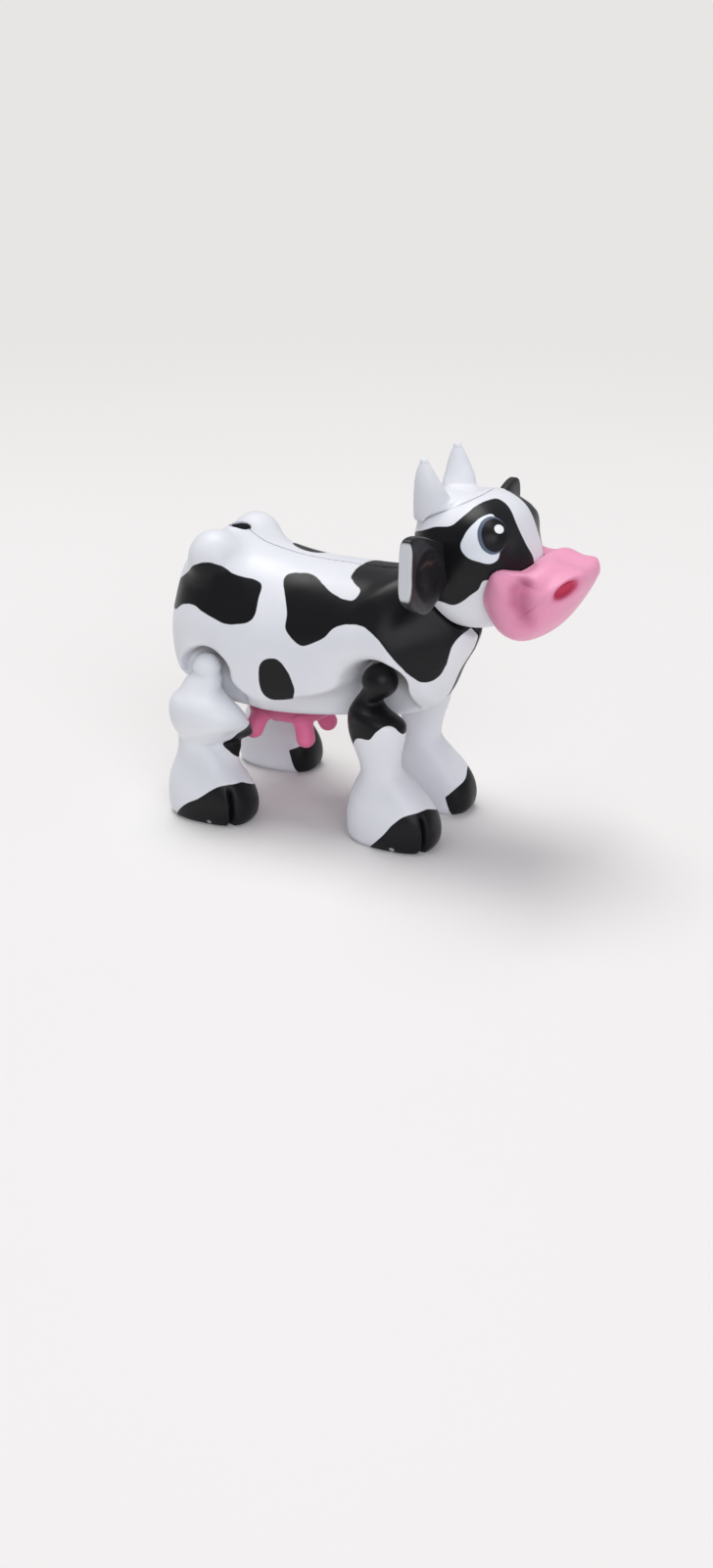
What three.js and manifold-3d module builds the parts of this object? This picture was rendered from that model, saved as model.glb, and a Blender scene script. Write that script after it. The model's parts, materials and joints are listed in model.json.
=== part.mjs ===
// Articulated toy cow. Millimetres, +Z up, +X towards the nose, +Y towards the cow's left side.
// The toy is drawn from a point on the ground half way between its front and rear hooves, and the whole
// is then moved so that the origin lies on the ground under the middle of its length, nose to rump.
// The body, the head and the muzzle are pillow shapes: a side outline blown up sideways to a half width.
// The legs and horns are lofts: rounded sections stacked along a line.

import * as THREE from 'three';
import { mergeVertices } from 'three/addons/utils/BufferGeometryUtils.js';
import Module from 'manifold-3d';

const wasm = await Module();
wasm.setup();

// Walls and fits
const bodyWall = 1.2;
const headWall = 1.2;
const seamGap = 0.2; // between the two body shells
const turnGap = 0.3; // round everything that turns
const seatGap = 0.3; // between a piece and the one that it is glued or pressed to
const pressGap = 0.12; // between a pressed pin and its bore

// Body
const rumpX = -17.0;
const chestX = 15.3;
const backZ = 27.8;
const bellyZ = 11.6;
const hipZ = 29.7; // the croup on the middle line
const hipX = -10.7;
const hipKnobRise = 0.75; // the two hip bones stand this much over the croup
const hipKnobSpread = 4.0;
const hipKnobRadius = 3.3;
const haunchHalfWidth = 9.2;
const flankHalfWidth = 8.3;
const shoulderHalfWidth = 8.7;
const neckHalfWidth = 5.4;
const tailHoleRadius = 1.0;
const tailHoleDepth = 2.2;

// Neck joint, where the head turns on a slanted axis
const neckX = 13.9;
const neckZ = 25.1;
const neckTilt = 45; // degrees from upright, forwards
const neckLip = 4.2; // half the length of the neck seam, seen from the side
const neckShankRadius = 1.5;
const neckBallRadius = 2.0;
const neckBallHeight = 4.2; // from the neck seam to the ball's centre
const neckFlangeRadius = 3.0;
const neckFlangeThickness = 1.2;
const socketWall = 0.9;

// Legs. The rear pair stands wider than the front pair.
const rearPivotX = -10.3;
const rearPivotZ = 16.7;
const frontPivotX = 8.8;
const frontPivotZ = 17.6;
const knobRadius = 1.65;
const rearFloorY = 5.7; // half distance between the floors of the leg arches
const frontFloorY = 3.5;
const archFloorRadius = 3.15;
const archCrown = 0.85; // the arch's rise over its pivot, as a share of its half width
const archFlare = 0.26; // how fast the arch widens outwards, mm per mm
const archLipFlare = 2.2; // and how fast over its soft lip
const rearArchLipY = 7.1; // half distance at which the lip starts
const frontArchLipY = 6.3;
const archSplay = 1.4; // how much wider it is down at the belly, for the swing
const rearArchSkirts = [2.2, 4.0]; // and how fast it widens there, mm per mm, behind the leg and ahead
const frontArchSkirts = [4.0, 1.2];
const footLength = 10.1;
const footWidth = 6.5;
const instepHeight = 6.2;
const hoofSquareness = 2.6; // 2 is an ellipse
const rearFootX = -10.15;
const rearFootY = 7.7;
const frontFootX = 10.25;
const frontFootY = 5.1;
const thighHalfLength = 4.75;
const thighHalfWidth = 2.75;
const kneeHalfLength = 3.05;
const kneeHalfWidth = 2.3;
const shankHalfLength = 2.2;
const shankHalfWidth = 2.1;
const hoofSplitWidth = 0.5;
const hoofSplitDepth = 1.1;
const rearSplitAngle = 33; // degrees outwards from straight ahead
const frontSplitAngle = 24;
const hoofHeight = 4.2;

// Leg pins
const pinRadius = 0.75;
const pinHeadRadius = 1.7;
const pinHeadThickness = 0.9;
const pinDepth = 2.2; // how far a pin goes into the knob

// Head, measured from the neck joint
const headBackX = -3.1;
const headFrontX = 9.1;
const headTopZ = 11.4;
const headBottomZ = -1.9;
const faceHalfWidth = 6.9;
const jawHalfWidth = 5.3;
const capRearZ = 8.3; // the horn cap's seam at the back of the head
const capFrontX = 3.4; // and where it comes out on the forehead
const capDeck = 1.1; // the head's own roof under the cap
const capPegRadius = 0.8;
const capPegLength = 1.6;

// Horns
const hornX = -1.2;
const hornSpread = 3.9;
const hornTipRise = 3.7; // over the top of the head
const hornBaseRadius = 1.9;
const hornTipRadius = 0.45;

// Muzzle
const muzzleFrontX = 14.8;
const muzzleRearX = 3.9;
const muzzleTopZ = 7.0;
const muzzleBottomZ = -2.2;
const muzzleHalfWidth = 6.8;
const muzzlePegRadius = 2.2;
const muzzlePegZ = 2.0;
const muzzlePegReach = 1.0; // how far the peg goes into the head
const nostrilY = 3.5;
const nostrilZ = 4.3;
const nostrilLength = 1.1;
const nostrilHeight = 0.65;

// Ears
const earX = 1.0;
const earZ = 6.7;
const earHalfHeight = 3.1; // at its outer end
const earDrop = 1.8; // how far its lobe hangs below that
const earPegZ = 5.0;
const earThickness = 1.75;
const earTipY = 14.5;
const earCup = 0.5;
const earPegRadius = 0.75;
const earPegLength = 2.4;

// Udder
const udderX = -3.9;
const udderHalfLength = 4.8;
const udderHalfWidth = 3.6;
const udderDrop = 2.4; // below the belly
const teatRadius = 1.05;
const teatLength = 2.7;
const udderPegRadius = 1.5;
const udderFlangeRadius = 2.3;

const right = -1;
const left = 1;
const far = 60; // longer than anything in the toy

// A smooth curve through [place, value] points, read as a function of place.
function through(points) {
  const slope = (i) => {
    const a = points[Math.max(i - 1, 0)];
    const b = points[Math.min(i + 1, points.length - 1)];
    return (b[1] - a[1]) / (b[0] - a[0]);
  };
  return (place) => {
    const first = points[0];
    const last = points[points.length - 1];
    if (place <= first[0]) return first[1];
    if (place >= last[0]) return last[1];
    const i = points.findIndex((p) => p[0] > place) - 1;
    const run = points[i + 1][0] - points[i][0];
    const t = (place - points[i][0]) / run;
    const s = 1 - t;
    return points[i][1] * (1 + 2 * t) * s * s + points[i + 1][1] * t * t * (3 - 2 * t)
      + run * slope(i) * t * s * s - run * slope(i + 1) * t * t * s;
  };
}

function smoothstep(from, to, value) {
  const t = Math.min(Math.max((value - from) / (to - from), 0), 1);
  return t * t * (3 - 2 * t);
}

// A solid from rings of points. Every ring has as many points, and a ring of one point is a pole.
function solidOfRings(rings) {
  const positions = [];
  const starts = rings.map((ring) => {
    const start = positions.length / 3;
    ring.forEach((p) => positions.push(p.x, p.y, p.z));
    return start;
  });
  const faces = [];
  const sides = Math.max(...rings.map((ring) => ring.length));
  const at = (r, j) => starts[r] + (rings[r].length === 1 ? 0 : j % sides);
  for (let r = 0; r + 1 < rings.length; r++) {
    for (let j = 0; j < sides; j++) {
      if (rings[r].length > 1) faces.push(at(r, j), at(r, j + 1), at(r + 1, j));
      if (rings[r + 1].length > 1) faces.push(at(r, j + 1), at(r + 1, j + 1), at(r + 1, j));
    }
  }
  const geometry = new THREE.BufferGeometry();
  geometry.setAttribute('position', new THREE.Float32BufferAttribute(positions, 3));
  geometry.setIndex(faces);
  return solid(geometry);
}

function solid(geometry) {
  geometry.deleteAttribute('normal');
  geometry.deleteAttribute('uv');
  const merged = mergeVertices(geometry, 1e-5);
  const make = (triVerts) => new wasm.Manifold(new wasm.Mesh({
    numProp: 3,
    vertProperties: new Float32Array(merged.attributes.position.array),
    triVerts,
  }));
  const indices = new Uint32Array(merged.index.array);
  const made = make(indices);
  if (made.volume() > 0) return made;
  return make(indices.reverse());
}

// A pillow: the outline in the x, z plane shrinks towards its centre as the surface swells sideways.
// grow moves the surface outwards by that much, or inwards where it is negative. detail scales its facets.
function pillow(shape, grow = 0, detail = 1) {
  const { centre, outline, halfWidth, squareness, roundness } = shape;
  const sides = Math.round(shape.sides * detail);
  const rings = Math.round(shape.rings * detail);
  const points = outline.map(([x, z]) => new THREE.Vector3(x, 0, z));
  const curve = new THREE.CatmullRomCurve3(points, true, 'centripetal');
  const rim = curve.getSpacedPoints(sides).slice(0, sides);
  const ringAt = (share, side) => {
    const swell = (1 - share ** squareness) ** (1 / roundness);
    return rim.map((p) => {
      const reach = Math.hypot(p.x - centre[0], p.z - centre[1]);
      const scale = share * (1 + grow / reach);
      const x = centre[0] + (p.x - centre[0]) * scale;
      const z = centre[1] + (p.z - centre[1]) * scale;
      return new THREE.Vector3(x, side * (halfWidth(x, z) + grow) * swell, z);
    });
  };
  const pole = (side) => [new THREE.Vector3(centre[0], side * (halfWidth(...centre) + grow), centre[1])];
  const shares = Array.from({ length: rings }, (_, i) => Math.sin(((i + 1) / rings) * Math.PI / 2));
  const near = shares.map((share) => ringAt(share, right));
  const away = shares.slice(0, -1).reverse().map((share) => ringAt(share, left));
  return solidOfRings([pole(right), ...near, ...away, pole(left)]);
}

// A rounded section across Z: back and front in x, low and high in y.
function section(z, back, front, low, high, power, sides) {
  return Array.from({ length: sides }, (_, j) => {
    const angle = (j / sides) * 2 * Math.PI;
    const squircle = (v) => Math.sign(v) * Math.abs(v) ** (2 / power);
    const x = (back + front) / 2 + ((front - back) / 2) * squircle(Math.cos(angle));
    const y = (low + high) / 2 + ((high - low) / 2) * squircle(Math.sin(angle));
    return new THREE.Vector3(x, y, z);
  });
}

function cylinder(radius, from, to, sides = 14) {
  const axis = to.clone().sub(from);
  const geometry = new THREE.CylinderGeometry(radius, radius, axis.length(), sides);
  geometry.applyQuaternion(new THREE.Quaternion().setFromUnitVectors(
    new THREE.Vector3(0, 1, 0), axis.clone().normalize()));
  geometry.translate(...from.clone().add(to).multiplyScalar(0.5).toArray());
  return solid(geometry);
}

function ball(centre, radii, sides = 14) {
  const geometry = new THREE.SphereGeometry(1, sides, Math.round(sides / 2));
  geometry.scale(...radii.toArray());
  geometry.translate(...centre.toArray());
  return solid(geometry);
}

function box(low, high) {
  const size = high.clone().sub(low);
  const geometry = new THREE.BoxGeometry(...size.toArray());
  geometry.translate(...low.clone().add(high).multiplyScalar(0.5).toArray());
  return solid(geometry);
}

// Everything on the side of a plane that its normal points to.
function halfSpace(point, normal) {
  const geometry = new THREE.BoxGeometry(2 * far, 2 * far, 2 * far);
  geometry.translate(0, far, 0);
  geometry.applyQuaternion(new THREE.Quaternion().setFromUnitVectors(
    new THREE.Vector3(0, 1, 0), normal.clone().normalize()));
  geometry.translate(...point.toArray());
  return solid(geometry);
}

function vec(x, y, z) {
  return new THREE.Vector3(x, y, z);
}

// Directions and places that several pieces share
const neckAngle = THREE.MathUtils.degToRad(neckTilt);
const neckAxis = vec(Math.sin(neckAngle), 0, Math.cos(neckAngle));
const neckPoint = vec(neckX, 0, neckZ);
const alongNeck = (from, distance) => from.clone().addScaledVector(neckAxis, distance);
const rearArch = {
  x: rearPivotX, z: rearPivotZ, floor: rearFloorY, lipY: rearArchLipY, skirts: rearArchSkirts,
};
const frontArch = {
  x: frontPivotX, z: frontPivotZ, floor: frontFloorY, lipY: frontArchLipY, skirts: frontArchSkirts,
};

// Body
const neckSeam = vec(Math.cos(neckAngle), 0, -Math.sin(neckAngle));
const neckTop = neckPoint.clone().addScaledVector(neckSeam, -neckLip);
const neckFront = neckPoint.clone().addScaledVector(neckSeam, neckLip);
const bodyShape = {
  centre: [0, (backZ + bellyZ) / 2],
  outline: [
    [rumpX, 17.5], [rumpX + 0.2, 22.5], [rumpX + 1.6, 26.8], [hipX - 2.2, hipZ - 0.7], [hipX, hipZ],
    [hipX + 3.6, hipZ - 0.9], [-2.5, backZ + 0.2], [2.5, backZ], [7.5, backZ],
    [neckTop.x, neckTop.z + 0.2], [neckPoint.x + 1.2, neckPoint.z + 1.2], [neckFront.x + 0.1, neckFront.z],
    [chestX, 18.2], [chestX - 1.8, 14.6], [chestX - 5.5, bellyZ + 1.5], [3.5, bellyZ + 0.5],
    [-2, bellyZ], [-7.5, bellyZ + 0.5], [rumpX + 3.6, bellyZ + 1.6], [rumpX + 0.9, bellyZ + 3.2],
  ],
  halfWidth: (x, z) => {
    const alongBody = through([
      [rumpX, haunchHalfWidth - 0.4], [rearPivotX, haunchHalfWidth], [0, flankHalfWidth],
      [frontPivotX, shoulderHalfWidth], [chestX - 1, neckHalfWidth + 0.8], [chestX + 2, neckHalfWidth],
    ]);
    return alongBody(x) * (1 - 0.3 * smoothstep(20, backZ + 1, z));
  },
  squareness: 4.6,
  roundness: 2.3,
  sides: 46,
  rings: 8,
};

function hipKnobs() {
  const radii = vec(hipKnobRadius, hipKnobRadius, hipKnobRadius);
  const centreZ = hipZ + hipKnobRise - hipKnobRadius;
  return [right, left].map((side) => ball(vec(hipX, side * hipKnobSpread, centreZ), radii, 14))
    .reduce((a, b) => a.add(b));
}

// The funnel in which a leg's knob sits: round on top, open downwards, wider outwards.
function archFunnel({ x, z, floor, lipY, skirts }, side, grow = 0) {
  const sides = 10;
  const depths = [floor - grow, (floor + lipY) / 2, lipY, lipY + 1.2, lipY + 4];
  const rings = depths.map((y) => {
    const depth = Math.max(y, floor) - floor;
    const radius = archFloorRadius + grow + archFlare * depth + archLipFlare * Math.max(y - lipY, 0);
    const arc = Array.from({ length: sides + 1 }, (_, j) => {
      const angle = (j / sides) * Math.PI;
      return vec(x + radius * Math.cos(angle), side * y, z + archCrown * radius * Math.sin(angle));
    });
    const foot = (way, skirt) => vec(x + way * (radius + archSplay + skirt * depth), side * y, bellyZ - 4);
    return [...arc, foot(-1, skirts[0]), foot(1, skirts[1])];
  });
  const middle = (y) => [vec(x, side * y, z - 1)];
  return solidOfRings([middle(depths[0]), ...rings, middle(depths[depths.length - 1])]);
}

function funnels(grow = 0) {
  return [rearArch, frontArch].flatMap((arch) => [right, left].map((side) => archFunnel(arch, side, grow)))
    .reduce((a, b) => a.add(b));
}

function bodyShells() {
  const outer = pillow(bodyShape).add(hipKnobs()).subtract(funnels());
  const hollow = pillow(bodyShape, -bodyWall, 0.5).subtract(funnels(bodyWall));
  const neckRoof = halfSpace(alongNeck(neckPoint, -bodyWall), neckAxis);
  const whole = outer.subtract(hollow.subtract(neckRoof)).subtract(halfSpace(neckPoint, neckAxis));
  const pinHoles = [rearArch, frontArch].map(({ x, z }) => cylinder(
    pinRadius + turnGap, vec(x, -far, z), vec(x, far, z)));
  const neckHole = cylinder(
    neckShankRadius + seatGap, alongNeck(neckPoint, -neckBallHeight), alongNeck(neckPoint, 1));
  const udderHole = cylinder(
    udderPegRadius + seatGap, vec(udderX, 0, bellyZ - 2), vec(udderX, 0, bellyZ + 3));
  const tailHole = cylinder(tailHoleRadius, vec(hipX, 0, hipZ - tailHoleDepth), vec(hipX, 0, hipZ + 2));
  const tailWell = cylinder(
    tailHoleRadius + bodyWall, vec(hipX, 0, hipZ - tailHoleDepth - bodyWall), vec(hipX, 0, hipZ - 0.6));
  const drilled = [...pinHoles, neckHole, udderHole, tailHole]
    .reduce((a, hole) => a.subtract(hole), whole.add(tailWell));
  return [right, left].map((side) => drilled.intersect(
    halfSpace(vec(0, side * seamGap / 2, 0), vec(0, side, 0))));
}

// Legs, made for the right side and mirrored for the left. Heights are above the ground.
function footSections(footX, footY) {
  const half = footLength / 2;
  const wide = footWidth / 2;
  const at = (height, back, front, trim) => [
    height, footX - half + back, footX + half - front, -footY - wide + trim, -footY + wide - trim];
  return [
    at(0, 0.5, 0.55, 0.45), at(0.7, 0.1, 0.1, 0.1), at(2.0, 0, 0, 0), at(0.55 * instepHeight, 0.05, 0.4, 0.1),
    at(0.78 * instepHeight, 0.3, 1.3, 0.4), at(instepHeight, 0.8, 2.6, 0.85),
  ];
}

function knobSections(pivotX, pivotZ, knobY) {
  return [-0.35, 0, 0.4, 0.75, 0.93, 0.995].map((share) => {
    const radius = knobRadius * Math.sqrt(1 - share * share);
    return [pivotZ + share * knobRadius, pivotX - radius, pivotX + radius, -knobY - radius, -knobY + radius];
  });
}

function oval(height, x, y, halfLength, halfWidth) {
  return [height, x - halfLength, x + halfLength, -y - halfWidth, -y + halfWidth];
}

function legSolid(sections, { x, z, floor }, footX, footY, splitAngle) {
  const sides = 16;
  const count = 20;
  const column = (k) => through(sections.map((row) => [row[0], row[k]]));
  const [back, front, low, high] = [1, 2, 3, 4].map(column);
  const top = sections[sections.length - 1][0];
  const bottomRing = section(0, back(0), front(0), low(0), high(0), hoofSquareness, sides);
  const rings = Array.from({ length: count }, (_, i) => {
    const height = top * ((i + 1) / count);
    const power = hoofSquareness - (hoofSquareness - 2) * smoothstep(0.2 * z, 0.6 * z, height);
    return section(height, back(height), front(height), low(height), high(height), power, sides);
  });
  const centreOf = (h) => [vec((back(h) + front(h)) / 2, (low(h) + high(h)) / 2, h)];
  const raw = solidOfRings([centreOf(0), bottomRing, ...rings, centreOf(top)]);
  const innerFace = halfSpace(vec(0, -floor - turnGap, bellyZ), vec(0, 1, 0))
    .intersect(box(vec(-far, -far, z - 2 * knobRadius), vec(far, far, far)));
  const bore = cylinder(
    pinRadius + pressGap, vec(x, -floor - turnGap - pinDepth, z), vec(x, 0, z));
  const turn = THREE.MathUtils.degToRad(splitAngle);
  const ahead = (2 * Math.cos(turn) / footLength) ** hoofSquareness;
  const aside = (2 * Math.sin(turn) / footWidth) ** hoofSquareness;
  const reach = (ahead + aside) ** (-1 / hoofSquareness);
  const split = box(
    vec(reach - hoofSplitDepth, -hoofSplitWidth / 2, -1),
    vec(reach + 1, hoofSplitWidth / 2, hoofHeight)).rotate([0, 0, -splitAngle]).translate([footX, -footY, 0]);
  return raw.subtract(innerFace).subtract(bore).subtract(split);
}

function rearLeg() {
  const knobY = rearFloorY + turnGap + 0.85 * knobRadius;
  const thighX = rearPivotX + 0.3;
  const shankX = rearPivotX - 1.5;
  const share = (part) => part * rearPivotZ;
  const thighY = rearFootY + 0.8;
  return legSolid([
    ...footSections(rearFootX, rearFootY),
    oval(share(0.45), shankX + 0.4, rearFootY, shankHalfLength + 0.4, shankHalfWidth),
    oval(share(0.5), shankX + 0.1, rearFootY, shankHalfLength, shankHalfWidth),
    oval(share(0.55), shankX + 0.7, rearFootY + 0.1, shankHalfLength + 0.6, shankHalfWidth + 0.1),
    oval(share(0.6), thighX - 0.4, thighY - 0.4, 0.84 * thighHalfLength, 0.93 * thighHalfWidth),
    oval(share(0.67), thighX, thighY, 0.98 * thighHalfLength, thighHalfWidth),
    oval(share(0.74), thighX, thighY, thighHalfLength, thighHalfWidth),
    oval(share(0.81), thighX - 0.2, thighY, 0.84 * thighHalfLength, 0.93 * thighHalfWidth),
    oval(share(0.87), rearPivotX - 0.7, knobY + 0.4, 0.5 * thighHalfLength, knobRadius + 0.3),
    oval(share(0.92), rearPivotX - 0.5, knobY, 1.05 * knobRadius, knobRadius),
    ...knobSections(rearPivotX, rearPivotZ, knobY),
  ], rearArch, rearFootX, rearFootY, rearSplitAngle);
}

function frontLeg() {
  const knobY = frontFloorY + turnGap + 0.85 * knobRadius;
  const kneeY = frontFloorY + turnGap + kneeHalfWidth;
  const share = (part) => part * frontPivotZ;
  return legSolid([
    ...footSections(frontFootX, frontFootY),
    oval(share(0.44), frontPivotX + 0.1, frontFootY + 0.2, shankHalfLength, shankHalfWidth),
    oval(share(0.51), frontPivotX, frontFootY + 0.4, shankHalfLength, shankHalfWidth),
    oval(share(0.6), frontPivotX - 0.1, frontFootY + 0.7, 0.85 * kneeHalfLength, 0.95 * kneeHalfWidth),
    oval(share(0.69), frontPivotX - 0.1, kneeY, 0.98 * kneeHalfLength, kneeHalfWidth),
    oval(share(0.77), frontPivotX - 0.2, kneeY, kneeHalfLength, kneeHalfWidth),
    oval(share(0.83), frontPivotX - 0.5, kneeY, 0.72 * kneeHalfLength, 0.85 * kneeHalfWidth),
    oval(share(0.88), frontPivotX - 0.75, knobY, 0.68 * knobRadius, 0.9 * knobRadius),
    ...knobSections(frontPivotX, frontPivotZ, knobY),
  ], frontArch, frontFootX, frontFootY, frontSplitAngle);
}

function mirrored(shape) {
  return shape.mirror([0, 1, 0]);
}

// A pin goes from inside the body through the arch floor into the knob of a leg.
function legPin({ x, z, floor }) {
  const inside = floor - bodyWall - turnGap;
  const shank = cylinder(pinRadius, vec(x, -inside, z), vec(x, -floor - turnGap - pinDepth + 0.2, z));
  const head = cylinder(pinHeadRadius, vec(x, -inside, z), vec(x, -inside + pinHeadThickness, z));
  return shank.add(head);
}

// Neck: a stud with a flange inside the body and a ball inside the head
function neckStud() {
  const flangeTop = -bodyWall - seatGap;
  const flange = cylinder(
    neckFlangeRadius, alongNeck(neckPoint, flangeTop - neckFlangeThickness), alongNeck(neckPoint, flangeTop));
  const shank = cylinder(
    neckShankRadius, alongNeck(neckPoint, flangeTop - 0.2), alongNeck(neckPoint, neckBallHeight));
  const radii = vec(neckBallRadius, neckBallRadius, neckBallRadius);
  return flange.add(shank).add(ball(alongNeck(neckPoint, neckBallHeight), radii, 16));
}

// The pieces below are measured from the neck joint, which is the head's own origin.
const headOrigin = vec(0, 0, 0);
const headFloor = turnGap + headWall;

function neckSocket() {
  const inner = neckBallRadius + turnGap;
  const mouth = neckShankRadius + turnGap;
  const low = headFloor + seatGap - neckBallHeight;
  const profile = [new THREE.Vector2(mouth, low), new THREE.Vector2(inner + socketWall, low)];
  profile.push(new THREE.Vector2(inner + socketWall, inner * 0.7));
  const first = Math.acos(0.7);
  const last = Math.PI - Math.asin(mouth / inner);
  for (let i = 0; i <= 6; i++) {
    const angle = first + (last - first) * (i / 6);
    profile.push(new THREE.Vector2(inner * Math.sin(angle), inner * Math.cos(angle)));
  }
  profile.push(profile[0].clone());
  const geometry = new THREE.LatheGeometry(profile, 18);
  geometry.applyQuaternion(new THREE.Quaternion().setFromUnitVectors(vec(0, 1, 0), neckAxis));
  geometry.translate(...alongNeck(headOrigin, neckBallHeight).toArray());
  return solid(geometry).intersect(pillow(headShape, -headWall - seatGap, 0.6));
}

const headShape = {
  centre: [3.0, 4.6],
  outline: [
    [headBackX, 4.5], [headBackX, capRearZ], [headBackX + 1.4, headTopZ - 0.8], [1.2, headTopZ - 0.2],
    [4.2, headTopZ], [headFrontX - 2.4, headTopZ - 1.3], [headFrontX - 0.9, 7.4], [headFrontX, 4.6],
    [headFrontX - 0.6, 1.8], [headFrontX - 2.6, headBottomZ + 1.0], [3.3, headBottomZ],
    [0.4, headBottomZ + 0.6], [-2.2, 1.2],
  ],
  halfWidth: (x, z) => {
    const upper = through([
      [headBackX, 5.4], [0, 6.4], [4.5, faceHalfWidth], [7, 6.2], [headFrontX, 4.9]]);
    const lower = through([
      [headBackX, 5.0], [0, jawHalfWidth], [5, jawHalfWidth - 0.3], [headFrontX, 4.0]]);
    const share = smoothstep(1.5, 7, z);
    return upper(x) * share + lower(x) * (1 - share);
  },
  squareness: 3.2,
  roundness: 2.2,
  sides: 34,
  rings: 8,
};

const capSlope = vec(capFrontX - headBackX, 0, headTopZ - 0.1 - capRearZ).normalize();
const capNormal = vec(-capSlope.z, 0, capSlope.x);
const capPoint = vec(headBackX, 0, capRearZ);
const aboveCap = (offset) => halfSpace(capPoint.clone().addScaledVector(capNormal, offset), capNormal);

const muzzlePegEnd = headFrontX - headWall - muzzlePegReach;

function headShell() {
  const outer = pillow(headShape);
  const hollow = pillow(headShape, -headWall, 0.6)
    .intersect(halfSpace(alongNeck(headOrigin, headFloor), neckAxis)).subtract(aboveCap(-capDeck));
  const neckHole = cylinder(
    neckShankRadius + turnGap, alongNeck(headOrigin, -1), alongNeck(headOrigin, neckBallHeight));
  const muzzleHole = cylinder(
    muzzlePegRadius + seatGap, vec(muzzlePegEnd, 0, muzzlePegZ), vec(far, 0, muzzlePegZ));
  const earHoles = cylinder(earPegRadius + pressGap, vec(earX, -far, earPegZ), vec(earX, far, earPegZ));
  const capHoles = [right, left].map((side) => capPeg(side, capPegRadius + pressGap, capPegLength + seatGap));
  return outer.intersect(halfSpace(alongNeck(headOrigin, turnGap), neckAxis))
    .subtract(hollow).subtract(aboveCap(0)).subtract(neckHole).subtract(muzzleHole).subtract(earHoles)
    .subtract(capHoles[0]).subtract(capHoles[1]);
}

// A peg under the horn cap, square to its seam
function capPeg(side, radius, length) {
  const seat = capPoint.clone().addScaledVector(capSlope, 3.2).setY(side * 2.4);
  const foot = seat.clone().addScaledVector(capNormal, -length);
  const head = seat.clone().addScaledVector(capNormal, seatGap + 0.5);
  return cylinder(radius, foot, head, 12);
}

// A horn: round sections on a line that leans outwards and bends forwards to its tip.
function horn(side) {
  const sides = 12;
  const stations = [-2.2, -1.0, 0, 1.0, 2.0, 2.9, hornTipRise - 0.25];
  const top = stations[stations.length - 1];
  const radiusAt = through([
    [-2.2, 0.7 * hornBaseRadius], [-1.2, 0.9 * hornBaseRadius], [0, 0.88 * hornBaseRadius],
    [2.0, 0.56 * hornBaseRadius], [top, hornTipRadius]]);
  const centreAt = (rise) => vec(
    hornX + 0.12 * rise - 0.05 * rise * rise, side * (hornSpread + 0.1 * rise), headTopZ - 0.4 + rise);
  const rings = stations.map((rise) => {
    const c = centreAt(rise);
    const r = radiusAt(rise);
    return section(c.z, c.x - r, c.x + r, c.y - 0.85 * r, c.y + 0.85 * r, 2, sides);
  });
  return solidOfRings([[centreAt(-2.3)], ...rings, [centreAt(hornTipRise)]]);
}

function hornCap() {
  const skin = pillow(headShape).add(horn(right)).add(horn(left)).intersect(aboveCap(seatGap));
  return skin.add(capPeg(right, capPegRadius, capPegLength)).add(capPeg(left, capPegRadius, capPegLength));
}

const muzzleShape = {
  centre: [9.6, 2.2],
  outline: [
    [muzzleRearX, 2.6], [muzzleRearX + 0.8, 4.7], [7.2, 6.0], [10.2, muzzleTopZ - 0.2], [12.6, muzzleTopZ],
    [muzzleFrontX - 0.4, muzzleTopZ - 0.9], [muzzleFrontX, 4.6], [13.2, 1.5], [11.2, -1.0],
    [8.6, muzzleBottomZ], [6.2, muzzleBottomZ + 0.8],
  ],
  halfWidth: (x) => through([[muzzleRearX, 6.8], [8.5, muzzleHalfWidth], [12, 6.2], [muzzleFrontX, 5.2]])(x),
  squareness: 2.8,
  roundness: 2.1,
  sides: 30,
  rings: 7,
};

function muzzle() {
  const skin = pillow(muzzleShape).subtract(pillow(headShape, seatGap, 0.8));
  const peg = cylinder(
    muzzlePegRadius, vec(muzzlePegEnd + 0.2, 0, muzzlePegZ), vec(headFrontX + 1.5, 0, muzzlePegZ));
  const nostrils = [right, left].map((side) => ball(
    vec(muzzleFrontX - 1.6, side * nostrilY, nostrilZ - 0.4), vec(1.1, nostrilLength, nostrilHeight), 12));
  return skin.add(peg).subtract(nostrils[0]).subtract(nostrils[1]);
}

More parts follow.
